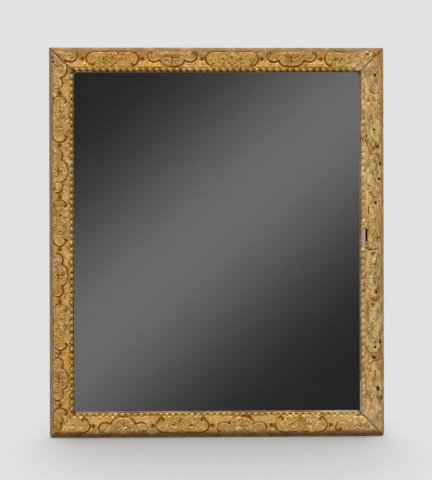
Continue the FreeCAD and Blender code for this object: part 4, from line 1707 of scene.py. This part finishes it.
# %% The sky
SKY_BELOW, SKY_ABOVE = 0.64, 0.96
world = bpy.data.worlds.new("pale_sky")
scene.world = world
world.use_nodes = True
sky_tree = world.node_tree
sky_tree.nodes.clear()
seen = add(sky_tree, "ShaderNodeBackground", {"Color": WHITE, "Strength": BACKGROUND})
aim = add(sky_tree, "ShaderNodeSeparateXYZ", {0: add(sky_tree, "ShaderNodeTexCoord").outputs["Generated"]})
climb = spread(sky_tree, aim.outputs["Z"], -0.35, 0.9, SKY_BELOW, SKY_ABOVE)
lighting = add(sky_tree, "ShaderNodeBackground", {"Color": WHITE, "Strength": climb})
camera_ray = add(sky_tree, "ShaderNodeLightPath").outputs["Is Camera Ray"]
skies = add(sky_tree, "ShaderNodeMixShader", {0: camera_ray, 1: lighting.outputs[0], 2: seen.outputs[0]})
add(sky_tree, "ShaderNodeOutputWorld", {"Surface": skies.outputs[0]})
print("the sky shines from", SKY_BELOW, "to", SKY_ABOVE)

# %% [markdown]
# The lights.
# A broad light from above makes the soft shadow on the floor, and a weaker one from the front lights the
# carving. Area lights would do too, but a wide sun gives the same light over the whole frame.

# %% The lights
def soft_sun(name, strength, spread_degrees, lean_degrees, turn_degrees):
    """A wide, far light. lean is how far it leans from overhead towards the camera."""
    data = bpy.data.lights.new(name, "SUN")
    data.energy = strength
    data.angle = math.radians(spread_degrees)
    light = bpy.data.objects.new(name, data)
    light.rotation_euler = (math.radians(lean_degrees), 0, math.radians(turn_degrees))
    scene.collection.objects.link(light)
    print(name, "shines with", strength)


soft_sun("overhead_light", 2.0, 60, -28, 0)
soft_sun("front_light", 0.95, 36, 34, -8)

# %% [markdown]
# The camera.
# It looks at the mirror straight on, a little from the left and not quite level, as the photo does. The
# lens could be found by trying. Here it follows from the frame's width in the photo and the distance of
# the outer arris.

# %% The camera
PHOTO_HEIGHT_PX = 480
frame_width_px = 334.5
frame_centre_px = (1.1, 2.3)
camera_distance = 2.6
camera_turn = math.radians(-1.75)
camera_roll = math.radians(0.13)
mm_per_px = overall_width / frame_width_px
arris_y = (rail_back - outer_wall) * MM
camera_data = bpy.data.cameras.new("camera")
edge_distance = camera_distance - cad_low.y + arris_y
camera_data.lens = camera_data.sensor_width * edge_distance / (PHOTO_HEIGHT_PX * mm_per_px * MM)
camera = bpy.data.objects.new("camera", camera_data)
scene.collection.objects.link(camera)
offset_x, offset_z = (px * mm_per_px * MM for px in frame_centre_px)
to_right = Vector((math.cos(camera_turn), math.sin(camera_turn), 0))
backwards = Vector((math.sin(camera_turn), -math.cos(camera_turn), 0))
arris_middle = Vector((0, arris_y, 0))
camera.location = arris_middle + edge_distance * backwards - offset_x * to_right + Vector((0, 0, offset_z))
camera.rotation_euler = (math.pi / 2, camera_roll, camera_turn)
scene.camera = camera
print("camera lens", round(camera_data.lens, 1), "mm")

# %% [markdown]
# The dark cloth.
# In the photo the glass shows a dark grey with a soft lighter band across it. A mirror has no colour of
# its own, so it needs something to see. A cloth that glows faintly, with a brighter glowing band painted
# across it, hangs behind the camera, and only what shines sees it.

# %% The dark cloth that the glass sees
cloth_distance = 3.6
cloth_half = 0.85
# Direction across the glowing band, its place and half width, and its glow over that of the cloth
band_across = (0.656, 0, -0.754)
band_offset, band_half_width = 0.047, 0.37
band_glow, cloth_glow = 0.142, 0.02
cloth_signs = ((-1, -1), (-1, 1), (1, 1), (1, -1))
cloth_corners = [(x * cloth_half, -cloth_distance, z * cloth_half) for x, z in cloth_signs]
cloth = flat_sheet("dark_cloth", cloth_corners)
cloth.location.x = -camera.location.x * cloth_distance / camera_distance
cloth.visible_camera = False
cloth.visible_diffuse = False
cloth.visible_shadow = False
cloth_material = bpy.data.materials.new("glowing_dark_cloth")
cloth_material.use_nodes = True
cloth_tree = cloth_material.node_tree
cloth_tree.nodes.clear()
crossing = {0: object_place(cloth_tree), 1: band_across}
across = add(cloth_tree, "ShaderNodeVectorMath", crossing, operation="DOT_PRODUCT").outputs["Value"]
away = sums(cloth_tree, "DIVIDE", sums(cloth_tree, "ADD", across, band_offset), band_half_width)
falling = sums(cloth_tree, "EXPONENT", times(cloth_tree, times(cloth_tree, away, away), -1.0))
band_and_cloth_glow = sums(cloth_tree, "ADD", times(cloth_tree, falling, band_glow), cloth_glow)
glow = add(cloth_tree, "ShaderNodeEmission", {"Color": WHITE, "Strength": band_and_cloth_glow})
add(cloth_tree, "ShaderNodeOutputMaterial", {"Surface": glow.outputs[0]})
cloth.data.materials.append(cloth_material)
print("the cloth hangs", cloth_distance, "m in front of the glass")

# %% [markdown]
# Last, the sizes.
# The dressed mirror's box is printed, beside the imported model's from the start. The dressed
# mirror must not outgrow the imported model.

# %% Write the sizes and finish
low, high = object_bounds()
print("dressed size", [round(v, 4) for v in high - low], "m")
